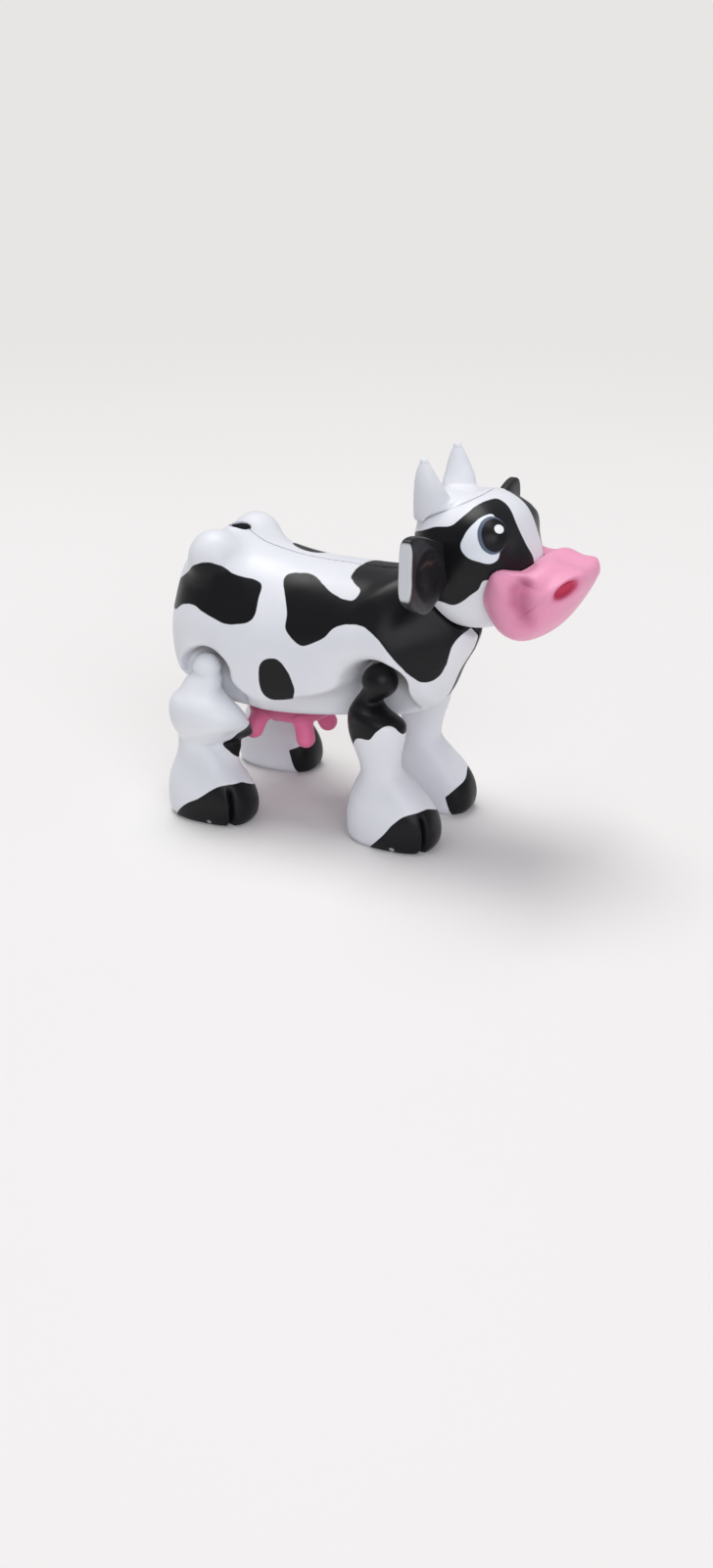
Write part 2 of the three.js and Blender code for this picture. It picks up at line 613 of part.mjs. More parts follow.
// An ear: a plate that sticks out sideways, hollowed in front, with a lobe below and a flat outer end.
function leftEar() {
  const root = headShape.halfWidth(earX, earZ) - 1.5;
  const half = earHalfHeight;
  const outline = new THREE.Shape();
  outline.moveTo(root, -earDrop);
  outline.splineThru([
    new THREE.Vector2(earTipY - 6.2, -half - 0.8 * earDrop),
    new THREE.Vector2(earTipY - 4.2, -half - earDrop),
    new THREE.Vector2(earTipY - 1.8, -half - 0.4 * earDrop),
    new THREE.Vector2(earTipY, -half + 0.9),
  ]);
  outline.lineTo(earTipY, half - 0.7);
  outline.splineThru([
    new THREE.Vector2(earTipY - 0.9, half),
    new THREE.Vector2(earTipY - 3.2, half - 0.3),
    new THREE.Vector2(earTipY - 6.0, half - 1.5),
    new THREE.Vector2(root + 0.4, half - 0.8 - earDrop),
  ]);
  const bevel = 0.3;
  const geometry = new THREE.ExtrudeGeometry(outline, {
    depth: earThickness - 2 * bevel,
    bevelThickness: bevel,
    bevelSize: bevel,
    bevelOffset: -bevel,
    bevelSegments: 1,
    curveSegments: 3,
  });
  geometry.translate(0, 0, bevel - earThickness / 2);
  geometry.applyMatrix4(new THREE.Matrix4().makeBasis(vec(0, 1, 0), vec(0, 0, 1), vec(1, 0, 0)));
  geometry.translate(earX, 0, earZ);
  const plate = solid(geometry).subtract(pillow(headShape, seatGap));
  const bowl = ball(
    vec(earX + earThickness / 2 + 1.2 - earCup, (root + earTipY) / 2 + 0.6, earZ - earDrop / 2),
    vec(1.2, 0.36 * (earTipY - root), 0.75 * half), 14);
  const inner = root - earPegLength + 1.5;
  const peg = cylinder(earPegRadius, vec(earX, inner, earPegZ), vec(earX, root + 2.4, earPegZ), 14);
  return plate.subtract(bowl).add(peg);
}

// Udder: a bag with four splayed teats, on a peg whose flange is held inside the two body shells
function teat(alongSide, side) {
  const top = vec(udderX + alongSide * 0.55 * udderHalfLength, side * 0.5 * udderHalfWidth, bellyZ - 0.7);
  const lean = vec(0.35 * alongSide, 0.36 * side, -1).normalize();
  const tip = top.clone().addScaledVector(lean, teatLength);
  const radii = vec(teatRadius, teatRadius, teatRadius);
  return cylinder(teatRadius, top, tip, 8).add(ball(tip, radii, 8));
}

function udder() {
  const bag = ball(
    vec(udderX, 0, bellyZ), vec(udderHalfLength, udderHalfWidth, udderDrop), 14);
  const teats = [-1, 1].flatMap((along) => [right, left].map((side) => teat(along, side)));
  const below = teats.reduce((a, b) => a.add(b), bag).subtract(pillow(bodyShape, seatGap, 0.6));
  const flangeZ = bellyZ + bodyWall + seatGap;
  const peg = cylinder(udderPegRadius, vec(udderX, 0, bellyZ - 1), vec(udderX, 0, flangeZ + 0.8));
  const flange = cylinder(udderFlangeRadius, vec(udderX, 0, flangeZ), vec(udderX, 0, flangeZ + 0.8));
  return below.add(peg).add(flange);
}

// Finishes
function plastic(color, roughness) {
  return new THREE.MeshStandardMaterial({ color, roughness, metalness: 0 });
}

const whitePlastic = () => plastic(0xe2e4ec, 0.42);
const blackPlastic = () => plastic(0x18181b, 0.35);
const pinkPlastic = () => plastic(0xf4a3c4, 0.45);
const udderPink = () => plastic(0xd0608c, 0.45);
const clearNylon = () => plastic(0xd8d6cf, 0.5);

function piece(name, shape, material) {
  const { vertProperties, triVerts, numProp } = shape.getMesh();
  const positions = new Float32Array((vertProperties.length / numProp) * 3);
  for (let i = 0; i < positions.length / 3; i++) {
    positions.set(vertProperties.subarray(i * numProp, i * numProp + 3), i * 3);
  }
  const geometry = new THREE.BufferGeometry();
  geometry.setAttribute('position', new THREE.BufferAttribute(positions, 3));
  geometry.setIndex(Array.from(triVerts));
  geometry.computeVertexNormals();
  const mesh = new THREE.Mesh(geometry, material);
  mesh.name = name;
  return mesh;
}

// The cow
const cow = new THREE.Group();
cow.position.x = -(rumpX + neckX + muzzleFrontX) / 2;
const [rightShell, leftShell] = bodyShells();
cow.add(piece('body_shell_right', rightShell, whitePlastic()));
cow.add(piece('body_shell_left', leftShell, whitePlastic()));
cow.add(piece('udder', udder(), udderPink()));
cow.add(piece('neck_stud', neckStud(), clearNylon()));

const limbs = [
  { name: 'front', leg: frontLeg(), pin: legPin(frontArch) },
  { name: 'rear', leg: rearLeg(), pin: legPin(rearArch) },
];
for (const { name, leg, pin } of limbs) {
  cow.add(piece(`${name}_leg_right`, leg, whitePlastic()));
  cow.add(piece(`${name}_leg_left`, mirrored(leg), whitePlastic()));
  cow.add(piece(`${name}_leg_pin_right`, pin, clearNylon()));
  cow.add(piece(`${name}_leg_pin_left`, mirrored(pin), clearNylon()));
}

const head = new THREE.Group();
head.position.copy(neckPoint);
head.add(piece('head_shell', headShell(), whitePlastic()));
head.add(piece('horn_cap', hornCap(), whitePlastic()));
head.add(piece('muzzle', muzzle(), pinkPlastic()));
head.add(piece('neck_socket', neckSocket(), clearNylon()));
head.add(piece('ear_left', leftEar(), blackPlastic()));
head.add(piece('ear_right', mirrored(leftEar()), blackPlastic()));
cow.add(head);

export default cow;
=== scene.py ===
"""Articulated toy cow, moulded in plastic and hand painted, standing on a pale floor.

Every shape is worked out in millimetres in the drawing frame: X ahead, Y to the cow's left, Z up, with the
origin on the ground half way between the front and rear hooves. AHEAD moves a finished piece along X into
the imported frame. Head pieces are worked out from the neck joint, as the real head is.
"""

import json

import bpy
import numpy as np
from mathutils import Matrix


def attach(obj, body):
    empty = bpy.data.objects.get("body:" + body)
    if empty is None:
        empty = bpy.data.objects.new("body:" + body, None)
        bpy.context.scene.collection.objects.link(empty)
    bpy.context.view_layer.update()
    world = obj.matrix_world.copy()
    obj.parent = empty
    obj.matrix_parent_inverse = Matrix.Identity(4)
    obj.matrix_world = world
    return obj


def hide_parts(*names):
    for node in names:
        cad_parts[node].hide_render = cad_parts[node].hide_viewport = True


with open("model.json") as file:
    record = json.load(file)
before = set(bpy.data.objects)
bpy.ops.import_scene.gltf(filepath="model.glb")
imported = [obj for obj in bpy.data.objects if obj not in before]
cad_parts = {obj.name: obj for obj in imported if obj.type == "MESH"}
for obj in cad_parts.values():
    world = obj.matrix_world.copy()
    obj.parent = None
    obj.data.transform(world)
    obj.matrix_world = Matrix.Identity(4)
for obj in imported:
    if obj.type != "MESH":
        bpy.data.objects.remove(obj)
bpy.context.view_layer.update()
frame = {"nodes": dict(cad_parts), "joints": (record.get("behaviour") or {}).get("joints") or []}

MM = 0.001
NECK = np.array([13.9, 0.0, 25.1])
HEAD_TURN = next(joint for joint in frame["joints"] if joint["name"] == "head_turn")
AHEAD = HEAD_TURN["pos_m"][0] / MM - NECK[0]
NECK_AXIS = np.array([1.0, 0.0, 1.0]) / np.sqrt(2)

RIGHT = -1
LEFT = 1
SIDES = {"right": RIGHT, "left": LEFT}


# Curves and blends


def smoothstep(start, end, value):
    """0 before start, 1 after end, and 3t^2 - 2t^3 between."""
    t = np.clip((value - start) / (end - start), 0, 1)
    return t * t * (3 - 2 * t)


def soft_min(a, b, blend):
    """The smaller of a and b, rounded where they meet: blend is how wide the rounding is."""
    h = np.clip(0.5 + 0.5 * (b - a) / blend, 0, 1)
    return b + (a - b) * h - blend * h * (1 - h)


def soft_max(a, b, blend):
    return -soft_min(-a, -b, blend)


def bell(value, width):
    """A bump of height 1 at 0: exp of minus (value / width) squared."""
    return np.exp(-((value / width) ** 2))


def squircle(value, power):
    """Bends a cosine or sine, so that a circle turns into a rounded box if power is above 2."""
    return np.sign(value) * np.abs(value) ** (2 / power)


def unit(way):
    return way / np.linalg.norm(way, axis=-1, keepdims=True)


def full_turn(count):
    return np.linspace(0, 2 * np.pi, count, endpoint=False)


def halving(low, high, holds):
    """The value between low, where holds is true, and high, where it isn't, at which that changes."""
    for _ in range(36):
        middle = (low + high) / 2
        held = holds(middle)
        low, high = np.where(held, middle, low), np.where(held, high, middle)
    return low


def cubic(t, a, b, leaving, arriving):
    """A cubic from a to b over t from 0 to 1, with the slopes that it leaves a and arrives at b with."""
    s = 1 - t
    return a * (1 + 2 * t) * s * s + b * t * t * (3 - 2 * t) + leaving * t * s * s - arriving * t * t * s


def through(points):
    """A smooth curve through (place, value) points, each slope taken over both neighbours."""
    place, value = np.array(points, float).T
    step = np.arange(len(place))
    after = np.minimum(step + 1, len(place) - 1)
    before = np.maximum(step - 1, 0)
    slope = (value[after] - value[before]) / (place[after] - place[before])

    def curve(at):
        at = np.clip(at, place[0], place[-1])
        i = np.clip(np.searchsorted(place, at, "right") - 1, 0, len(place) - 2)
        run = place[i + 1] - place[i]
        return cubic((at - place[i]) / run, value[i], value[i + 1], run * slope[i], run * slope[i + 1])

    return curve


def smooth_loop(points, per_side):
    """A closed centripetal Catmull-Rom curve through the points, as dense points."""
    p1 = np.array(points, float)
    p0, p2, p3 = (np.roll(p1, k, 0) for k in (1, -1, -2))
    steps = (p1 - p0, p2 - p1, p3 - p2)
    d0, d1, d2 = (np.linalg.norm(step, axis=1, keepdims=True) ** 0.5 for step in steps)
    m1 = ((p1 - p0) / d0 - (p2 - p0) / (d0 + d1) + (p2 - p1) / d1) * d1
    m2 = ((p2 - p1) / d1 - (p3 - p1) / (d1 + d2) + (p3 - p2) / d2) * d1
    t = np.linspace(0, 1, per_side, endpoint=False)[None, :, None]
    return cubic(t, *(v[:, None, :] for v in (p1, p2, m1, m2))).reshape(-1, p1.shape[1])


def patch(u, v, points):
    """Distance in mm from (u, v) to the smooth loop through points, above 0 inside it."""
    shape = u.shape
    loop = smooth_loop(points, 6)
    u, v = u.ravel(), v.ravel()
    best = np.full(u.shape, 1e9)
    crossings = np.zeros(u.shape, int)
    for a, b in zip(loop, np.roll(loop, -1, 0)):
        edge = b - a
        t = np.clip(((u - a[0]) * edge[0] + (v - a[1]) * edge[1]) / (edge @ edge + 1e-12), 0, 1)
        best = np.minimum(best, (u - a[0] - t * edge[0]) ** 2 + (v - a[1] - t * edge[1]) ** 2)
        if edge[1]:
            crossing = (a[1] > v) != (b[1] > v)
            crossings += crossing & (u < a[0] + (v - a[1]) / edge[1] * edge[0])
    return (np.sqrt(best) * np.where(crossings % 2, 1, -1)).reshape(shape)


def line_distance(p, points):
    """Distance from each of p to an open line through points, and how far along it that is, 0 to 1."""
    points = np.array(points, float)
    best = np.full(p.shape[:-1], 1e9)
    along = np.zeros(p.shape[:-1])
    total = len(points) - 1
    for i in range(total):
        edge = points[i + 1] - points[i]
        t = np.clip((p - points[i]) @ edge / (edge @ edge), 0, 1)
        gap = np.linalg.norm(p - points[i] - t[..., None] * edge, axis=-1)
        nearer = gap < best
        best = np.where(nearer, gap, best)
        along = np.where(nearer, (i + t) / total, along)
    return best, along


# Pillow shapes


class Pillow:
    """A side outline blown up sideways.

    share is how far a point is from the centre, as a part of the way to the outline in its direction.
    Half width = widest(x, z) * (1 - share^square)^(1/round).
    """

    def __init__(self, centre, outline, widest, square, roundness):
        self.centre = centre
        self.loop = smooth_loop(outline, 80)
        away = self.loop - centre
        angle = np.arctan2(away[:, 1], away[:, 0])
        order = np.argsort(angle)
        self.angle = angle[order]
        self.reach = np.hypot(away[:, 0], away[:, 1])[order]
        self.widest = widest
        self.square = square
        self.round = roundness

    def share(self, x, z, grow=0.0):
        dx, dz = x - self.centre[0], z - self.centre[1]
        reach = np.interp(np.arctan2(dz, dx), self.angle, self.reach, period=2 * np.pi)
        return np.hypot(dx, dz) / (reach + grow)

    def half_width(self, x, z, grow=0.0):
        share = np.clip(self.share(x, z, grow), 0, 1)
        return (self.widest(x, z) + grow) * (1 - share**self.square) ** (1 / self.round)

    def contains(self, p, grow=0.0):
        x, z = p[..., 0], p[..., 2]
        return (self.share(x, z, grow) < 1) & (np.abs(p[..., 1]) < self.half_width(x, z, grow))

    def shares(self, rings, reach, width):
        """Shares from the centre to the rim, equally spaced along the cross section of that size."""
        t = np.linspace(0, np.pi / 2, 2000)
        share = np.sin(t)
        swell = np.clip(1 - share**self.square, 0, 1) ** (1 / self.round)
        run = np.concatenate([[0], np.cumsum(np.hypot(np.diff(share) * reach, np.diff(swell) * width))])
        return np.interp(np.linspace(0, run[-1], rings + 1)[1:], run, share)

    def rim(self, count, weight=lambda points: 1):
        """count points along the outline, equally far apart, or closer where weight is larger."""
        closed = np.vstack([self.loop, self.loop[:1]])
        length = np.linalg.norm(np.diff(closed, axis=0), axis=1) * weight(self.loop)
        run = np.concatenate([[0], np.cumsum(length)])
        at = np.linspace(0, run[-1], count, endpoint=False)
        return np.stack([np.interp(at, run, axis) for axis in closed.T], 1)

    def spread(self, rim, shares):
        """x and z of a grid: the rim drawn in to the centre by each share."""
        x = self.centre[0] + (rim[None, :, 0] - self.centre[0]) * shares[:, None]
        z = self.centre[1] + (rim[None, :, 1] - self.centre[1]) * shares[:, None]
        return x, z


# Making pieces

SHARP_EDGE = np.radians(55)


def skin_faces(height, width):
    """Quads between the rows of a grid, and a fan of triangles to the pole at each end of it."""
    j = np.arange(width)
    k = (j + 1) % width
    at = 1 + np.arange(height)[:, None] * width
    low, high = at[:-1], at[1:]
    sides = np.stack([low + j, low + k, high + k, high + j], -1).reshape(-1, 4)
    first = np.stack([np.full(width, 0), at[0] + k, at[0] + j], -1)
    last = np.stack([np.full(width, 1 + height * width), at[-1] + j, at[-1] + k], -1)
    return [sides, first, last]


def six_volumes(corners, faces):
    """Six times the volume that the faces enclose, below 0 if they face inwards."""
    total = 0.0
    for block in faces:
        for i in range(1, block.shape[1] - 1):
            a, b, c = (corners[block[:, k]] for k in (0, i, i + 1))
            total += np.einsum("ij,ij->", a, np.cross(b, c))
    return total


def placed(name, data):
    made = bpy.data.objects.new(name, data)
    bpy.context.scene.collection.objects.link(made)
    return made


def moulding(name, parts, body, nodes, finish):
    """Makes one object of closed skins. Each part is (rows, paints): rows is a grid of points round it,
    closed along each row and to a pole at each end, and paints the values at them that the finish reads."""
    points, faces, paints = [], [], {}
    start = 0
    for rows, colours in parts:
        height, width = rows.shape[:2]
        poles = [rows[i].mean(0, keepdims=True) for i in (0, -1)]
        corners = np.vstack([poles[0], rows.reshape(-1, 3), poles[1]])
        skin = skin_faces(height, width)
        if six_volumes(corners, skin) < 0:
            skin = [block[:, ::-1] for block in skin]
        faces.extend(block + start for block in skin)
        for key, value in colours.items():
            value = np.broadcast_to(value, (height, width)).astype(float)
            values = np.concatenate([[value[0].mean()], value.ravel(), [value[-1].mean()]])
            paints.setdefault(key, []).append(values)
        points.append(corners)
        start += len(corners)
    points = (np.vstack(points) + [AHEAD, 0, 0]) * MM
    mesh = bpy.data.meshes.new(name)
    mesh.vertices.add(len(points))
    mesh.vertices.foreach_set("co", points.astype(np.float32).ravel())
    corners = np.concatenate([block.ravel() for block in faces])
    sizes = np.concatenate([np.full(len(block), block.shape[1]) for block in faces])
    mesh.loops.add(len(corners))
    mesh.loops.foreach_set("vertex_index", corners.astype(np.int32))
    mesh.polygons.add(len(sizes))
    mesh.polygons.foreach_set("loop_start", np.concatenate([[0], np.cumsum(sizes)[:-1]]).astype(np.int32))
    mesh.update(calc_edges=True)
    mesh.shade_smooth()
    mesh.set_sharp_from_angle(angle=SHARP_EDGE)
    for key, values in paints.items():
        attribute = mesh.attributes.new(key, "FLOAT", "POINT")
        attribute.data.foreach_set("value", np.concatenate(values).astype(np.float32))
    mesh.validate()
    mesh.materials.append(finish)
    piece = placed(name, mesh)
    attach(piece, body)
    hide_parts(*nodes)


# Finishes


class Finish:
    """A material and its nodes."""

    def __init__(self, name):
        self.material = bpy.data.materials.new(name)
        self.material.use_nodes = True
        self.tree = self.material.node_tree
        self.shader = self.tree.nodes["Principled BSDF"]
        self.place = self.node("TexCoord").outputs["Object"]

    def node(self, kind, **settings):
        made = self.tree.nodes.new("ShaderNode" + kind)
        for key, value in settings.items():
            setattr(made, key, value)
        return made

    def fill(self, node, values):
        """Gives a node's inputs numbers, colours or the outputs of other nodes."""
        for key, value in values.items():
            if isinstance(value, tuple):
                node.inputs[key].default_value = (*value, 1)
            elif isinstance(value, (int, float)):
                node.inputs[key].default_value = value
            else:
                self.tree.links.new(value, node.inputs[key])
        return node.outputs

    def noise(self, scale, detail=2.0, roughness=0.5):
        values = {"Scale": scale, "Detail": detail, "Roughness": roughness, "Vector": self.place}
        return self.fill(self.node("TexNoise"), values)["Fac"]

    def remap(self, value, low, high, to_low, to_high, smooth=False):
        made = self.node("MapRange", interpolation_type="SMOOTHSTEP" if smooth else "LINEAR")
        values = {"From Min": low, "From Max": high, "To Min": to_low, "To Max": to_high, "Value": value}
        return self.fill(made, values)["Result"]

    def paint(self, key):
        return self.node("Attribute", attribute_name=key).outputs["Fac"]

    def sum(self, a, b, operation="ADD"):
        return self.fill(self.node("Math", operation=operation), {0: a, 1: b})[0]

    def mix(self, share, below, above):
        return self.fill(self.node("Mix", data_type="RGBA"), {0: share, 6: below, 7: above})[2]


# Noise scales, in waves per metre
CLOUDS = 260
SPOTS = 500
BRUSH = 700
RUBBING = 420
GRAIN = 2600

PLASTIC_IOR = 1.49
SPECULAR = 0.24
BUMP_STRENGTH = 0.25


def plastic(
    name, colour, tint, coats=(), roughness=0.34, grain=0.02, wobble=0.05, edge=0.05, darkening=None, polish=0.06
):
    """Moulded plastic: a colour that drifts slightly, coats of paint over it, fine grain and scuffed gloss.

    Each coat is (attribute, colour): it lies where the attribute, a distance in mm, is above 0. A noise
    moves its edge by up to wobble mm, as a brush does, and the edge is edge mm soft. A colour and a
    strength given for the crevices darken them in spots where the crevice attribute is high: painted shade
    in the body's leg arches, in the muzzle's creases, round its nostrils and on the udder's top, and on the
    legs a darker band just above the sole.
    """
    finish = Finish(name)
    cloud = finish.remap(finish.noise(CLOUDS, 3), 0.3, 0.7, 0, 1)
    shade = finish.mix(cloud, colour, tint)
    # Painted shade: where the crevice attribute is high a dark colour is blended in, in spots (on the legs
    # a band above the sole).
    if darkening:
        dark_colour, strength = darkening
        spots = finish.remap(finish.noise(SPOTS, 2), 0.3, 0.7, 0.86, 1)
        amount = finish.sum(finish.sum(finish.paint("crevice"), spots, "MULTIPLY"), strength, "MULTIPLY")
        shade = finish.mix(amount, shade, dark_colour)
    brush = finish.remap(finish.noise(BRUSH, 2), 0.2, 0.8, -wobble, wobble)
    gloss = finish.remap(finish.noise(RUBBING, 4, 0.65), 0.3, 0.7, roughness - polish, roughness + polish)
    for key, paint in coats:
        level = finish.sum(finish.paint(key), brush)
        shade = finish.mix(finish.remap(level, -edge, edge, 0, 1, True), shade, paint)
    bump = finish.node("Bump")
    grains = finish.noise(GRAIN, 3, 0.6)
    bumps = finish.fill(bump, {"Strength": BUMP_STRENGTH, "Distance": grain * MM, "Height": grains})
    finish.fill(finish.shader, {
        "Base Color": shade, "Roughness": gloss, "IOR": PLASTIC_IOR, "Specular IOR Level": SPECULAR,
        "Normal": bumps["Normal"],
    })
    return finish.material


WHITE = (0.80, 0.81, 0.85)
WHITE_TINT = (0.76, 0.775, 0.82)
BLACK = (0.006, 0.006, 0.0075)
PINK = (0.86, 0.36, 0.53)
PINK_TINT = (0.83, 0.33, 0.50)
NOSTRIL = (0.62, 0.06, 0.13)
UDDER = (0.82, 0.19, 0.36)
UDDER_TINT = (0.76, 0.165, 0.32)
SCUFF = (0.075, 0.05, 0.04)
EAR_TINT = (0.02, 0.02, 0.022)
EAR_END = (0.62, 0.63, 0.66)
EYEBALL = (0.80, 0.84, 0.90)
IRIS = (0.10, 0.13, 0.19)
GLINT = (0.85, 0.86, 0.88)
WORN = (0.42, 0.42, 0.43)
# Painted shade in the body's leg arches; on the legs the same grey darkens a band just above the sole.
CREVICE_GREY = (0.20, 0.18, 0.185)
# Painted shade in the muzzle's smile creases and round its nostrils.
MUZZLE_SHADE = (0.45, 0.09, 0.2)
# Painted shade on the udder's top, under the belly.
UDDER_SHADE = (0.2, 0.03, 0.07)
# Painted shade inside the tail hole.
HOLE_SHADE = (0.035, 0.04, 0.042)
NYLON = (0.68, 0.67, 0.62)
NYLON_TINT = (0.64, 0.63, 0.57)

body_coats = [("black", BLACK), ("hole_shade", HOLE_SHADE)]
body_finish = plastic("body plastic", WHITE, WHITE_TINT, body_coats, darkening=(CREVICE_GREY, 0.72))
leg_coats = [("black", BLACK), ("worn", WORN)]
leg_finish = plastic("leg plastic", WHITE, WHITE_TINT, leg_coats, darkening=(CREVICE_GREY, 0.35))
head_coats = [("black", BLACK), ("eye", EYEBALL), ("iris", IRIS), ("pupil", BLACK), ("glint", GLINT)]
head_finish = plastic("head plastic", WHITE, WHITE_TINT, head_coats, wobble=0.03)
muzzle_finish = plastic(
    "muzzle plastic", PINK, PINK_TINT, [("nostril", NOSTRIL)], roughness=0.38, edge=0.28,
    darkening=(MUZZLE_SHADE, 0.75),
)
ear_finish = plastic(
    "ear plastic", BLACK, EAR_TINT, [("bare", EAR_END), ("scuff", SCUFF)], roughness=0.36, edge=0.12,
    polish=0.02,
)
udder_finish = plastic("udder plastic", UDDER, UDDER_TINT, roughness=0.42, darkening=(UDDER_SHADE, 0.5))
nylon_finish = plastic("natural nylon", NYLON, NYLON_TINT, roughness=0.42)


# Body

BODY_WALL = 1.2
BODY_COLUMNS = 540
BODY_RINGS = 118
HIP_X = -10.7
HIP_Z = 29.7
HIP_KNOB = np.array([HIP_X, 4.3, 27.85])
HIP_KNOB_RADIUS = 2.75
TAIL_X = -10.15
TAIL_HOLE_RADIUS = 1.15
TAIL_HOLE_DEPTH = 2.2
TAIL_MOUND = 0.75
BELLY_Z = 11.6

# The seam between the body shells: half the width of its gap, and how deep and wide its groove is.
SEAM = 0.05
GROOVE_DEPTH = 0.07
GROOVE_WIDTH = 0.09

NECK_LIP = 4.2 / np.sqrt(2)
NECK_TOP = (NECK[0] - NECK_LIP, NECK[2] + NECK_LIP)
NECK_FRONT = (NECK[0] + NECK_LIP, NECK[2] - NECK_LIP)


def body_widest(x, z):
    along = through([(-17, 8.8), (-10.3, 9.2), (0, 8.3), (8.8, 8.7), (14.3, 6.2), (17.3, 5.4)])
    return along(x) * (1 - 0.3 * smoothstep(20, 28.8, z))


BODY = Pillow(
    (0, 19.7),
    [
        (-17, 17.5), (-16.8, 22.5), (-15.4, 26.8), (-12.9, 29), (HIP_X, HIP_Z), (-7.1, 28.8),
        (-2.5, 28), (2.5, 27.8), (7.5, 27.8), (NECK_TOP[0], NECK_TOP[1] + 0.2),
        (NECK[0] + 1.2, NECK[2] + 1.2), (NECK_FRONT[0] + 0.1, NECK_FRONT[1]), (15.3, 18.2), (13.5, 14.6),
        (9.8, 13.1), (3.5, 12.1), (-2, 11.6), (-7.5, 11.7), (-12.9, 12.5), (-16.1, 14.8),
    ],
    body_widest,
    4.6,
    2.3,
)

# Each leg and the arch that it turns in, round a pin at x and z. floor and lip are how far out the arch's
# floor and the body beside it lie. The arch rises by wall, then by dish over a length of spread, flares by
# skirts downwards, and has room for the leg's neck. Pairs are behind, then ahead. knob is the radius of the
# leg's round top, aside how far ahead that stands, web how far its web grows, foot the hoof's middle, split
# its toe's turn, and worn_y how far out its worn spot is. Shank sections: share of the height, ahead of the
# pin, out, half length, half width.
ARCHES = {
    "rear": {
        "x": -10.3, "z": 16.7, "floor": 5.7, "lip": 7.1, "wall": 1.5, "dish": 2.2, "spread": (2, 0.7),
        "skirts": (2.2, 2.2), "room": 1.0, "knob": 1.5, "aside": -0.2, "web": 2.3, "foot": (-10.15, 7.7),
        "split": -33, "worn_y": 10.9,
        "shank": [
            (0.45, -1.1, 7.7, 2.6, 2.1), (0.5, -1.4, 7.7, 2.2, 2.1), (0.55, -0.8, 7.8, 2.8, 2.2),
            (0.6, -0.45, 8.1, 3.35, 2.56), (0.67, 0.1, 8.5, 4.1, 2.75), (0.74, 0.05, 8.5, 4.15, 2.75),
            (0.81, -0.4, 8.4, 3.4, 2.45), (0.87, -0.7, 7.875, 2.3, 2), (0.93, -0.5, 7.425, 1.95, 1.7),
        ],
    },
    "front": {
        "x": 8.8, "z": 17.6, "floor": 3.5, "lip": 6.3, "wall": 2.4, "dish": 3.4, "spread": (2.2, 0.8),
        "skirts": (4, 0.9), "room": 0.3, "knob": 1.85, "aside": -0.15, "web": 0.0, "foot": (10.25, 5.1),
        "split": -24, "worn_y": 8.2,
        "shank": [
            (0.44, 0.1, 5.3, 2.2, 2.1), (0.51, 0, 5.5, 2.2, 2.1), (0.6, -0.1, 5.8, 2.59, 2.185),
            (0.69, -0.1, 6.1, 2.99, 2.3), (0.77, -0.2, 6.1, 3.05, 2.3), (0.83, -0.95, 6.1, 2.15, 1.95),
            (0.88, -1.3, 5.4725, 1.45, 1.5), (0.93, -0.5, 5.3725, 1.65, 1.6),
        ],
    },
}
ARCH_RADIUS = 2.45
ARCH_CROWN = 0.82
ARCH_SPLAY = 3.0
ARCH_FLARE = 0.26
ARCH_FOOT_Z = BELLY_Z - 4


def arch_reach(arch, x, z):
    """How far a point is from the arch's middle line, how wide the floor is there, and how fast the arch
    widens outwards. Both grow smoothly downwards, and the floor has room behind the leg's neck."""
    down = np.clip((arch["z"] - z) / (arch["z"] - ARCH_FOOT_Z), 0, 1)
    down = down * smoothstep(-0.05, 0.3, down)
    over_crown = np.hypot(x - arch["x"], (z - arch["z"]) / ARCH_CROWN)
    reach = np.where(z > arch["z"], over_crown, np.abs(x - arch["x"]))
    behind, ahead = arch["skirts"]
    steep = ARCH_FLARE + np.where(x < arch["x"], behind, ahead) * down
    room = arch["room"] * smoothstep(1.6, -0.4, z - arch["z"]) * smoothstep(0.5, -2.0, x - arch["x"])
    return reach, ARCH_RADIUS + ARCH_SPLAY * down + room, steep


def arch_height(arch, x, z):
    """Half width that an arch leaves: its floor, a wall out of it, then a dish that flattens out as
    exp(-distance) does, wide behind and over the leg, narrow ahead of it."""
    reach, edge, steep = arch_reach(arch, x, z)
    over = np.maximum(reach - edge, 0)
    behind, ahead = arch["spread"]
    past_leg = x - arch["x"] - 0.5 * np.maximum(z - arch["z"], 0)
    spread = ahead + (behind - ahead) * smoothstep(1.6, -1.6, past_leg) + 0.5 * (steep - ARCH_FLARE)
    dish = arch["wall"] + arch["dish"] * (1 - np.exp(-over / spread))
    return arch["floor"] + soft_min(over / steep, dish, 0.9) + 0.02


def drawn_in(x, z, share):
    """Draws grid points near an arch's wall towards it, so that the wall has rows enough."""
    for arch in ARCHES.values():
        reach, edge, steep = arch_reach(arch, x, z)
        wall = edge + 0.5 * steep * (arch["lip"] - arch["floor"])
        pull = -(reach - wall) * 0.55 * bell(reach - wall, 0.9) * (1 - share**12)
        scale = pull / np.maximum(reach, 0.5)
        x, z = x + (x - arch["x"]) * scale, np.where(z > arch["z"], z + (z - arch["z"]) * scale, z)
    return x, z


def pushed_out(p, centre, radius, blend):
    """Moves points near a ball straight away from its centre until they lie on it."""
    away = p - centre
    gap = np.linalg.norm(away, axis=-1)
    return centre + away * (soft_max(gap, radius, blend) / gap)[..., None]


def held_behind(p, point, axis, blend):
    """Moves points past a plane back onto it, with an edge that is blend wide."""
    past = (p - point) @ axis
    return p - (soft_max(past, 0, blend) - blend / 4 * bell(past, blend))[..., None] * axis


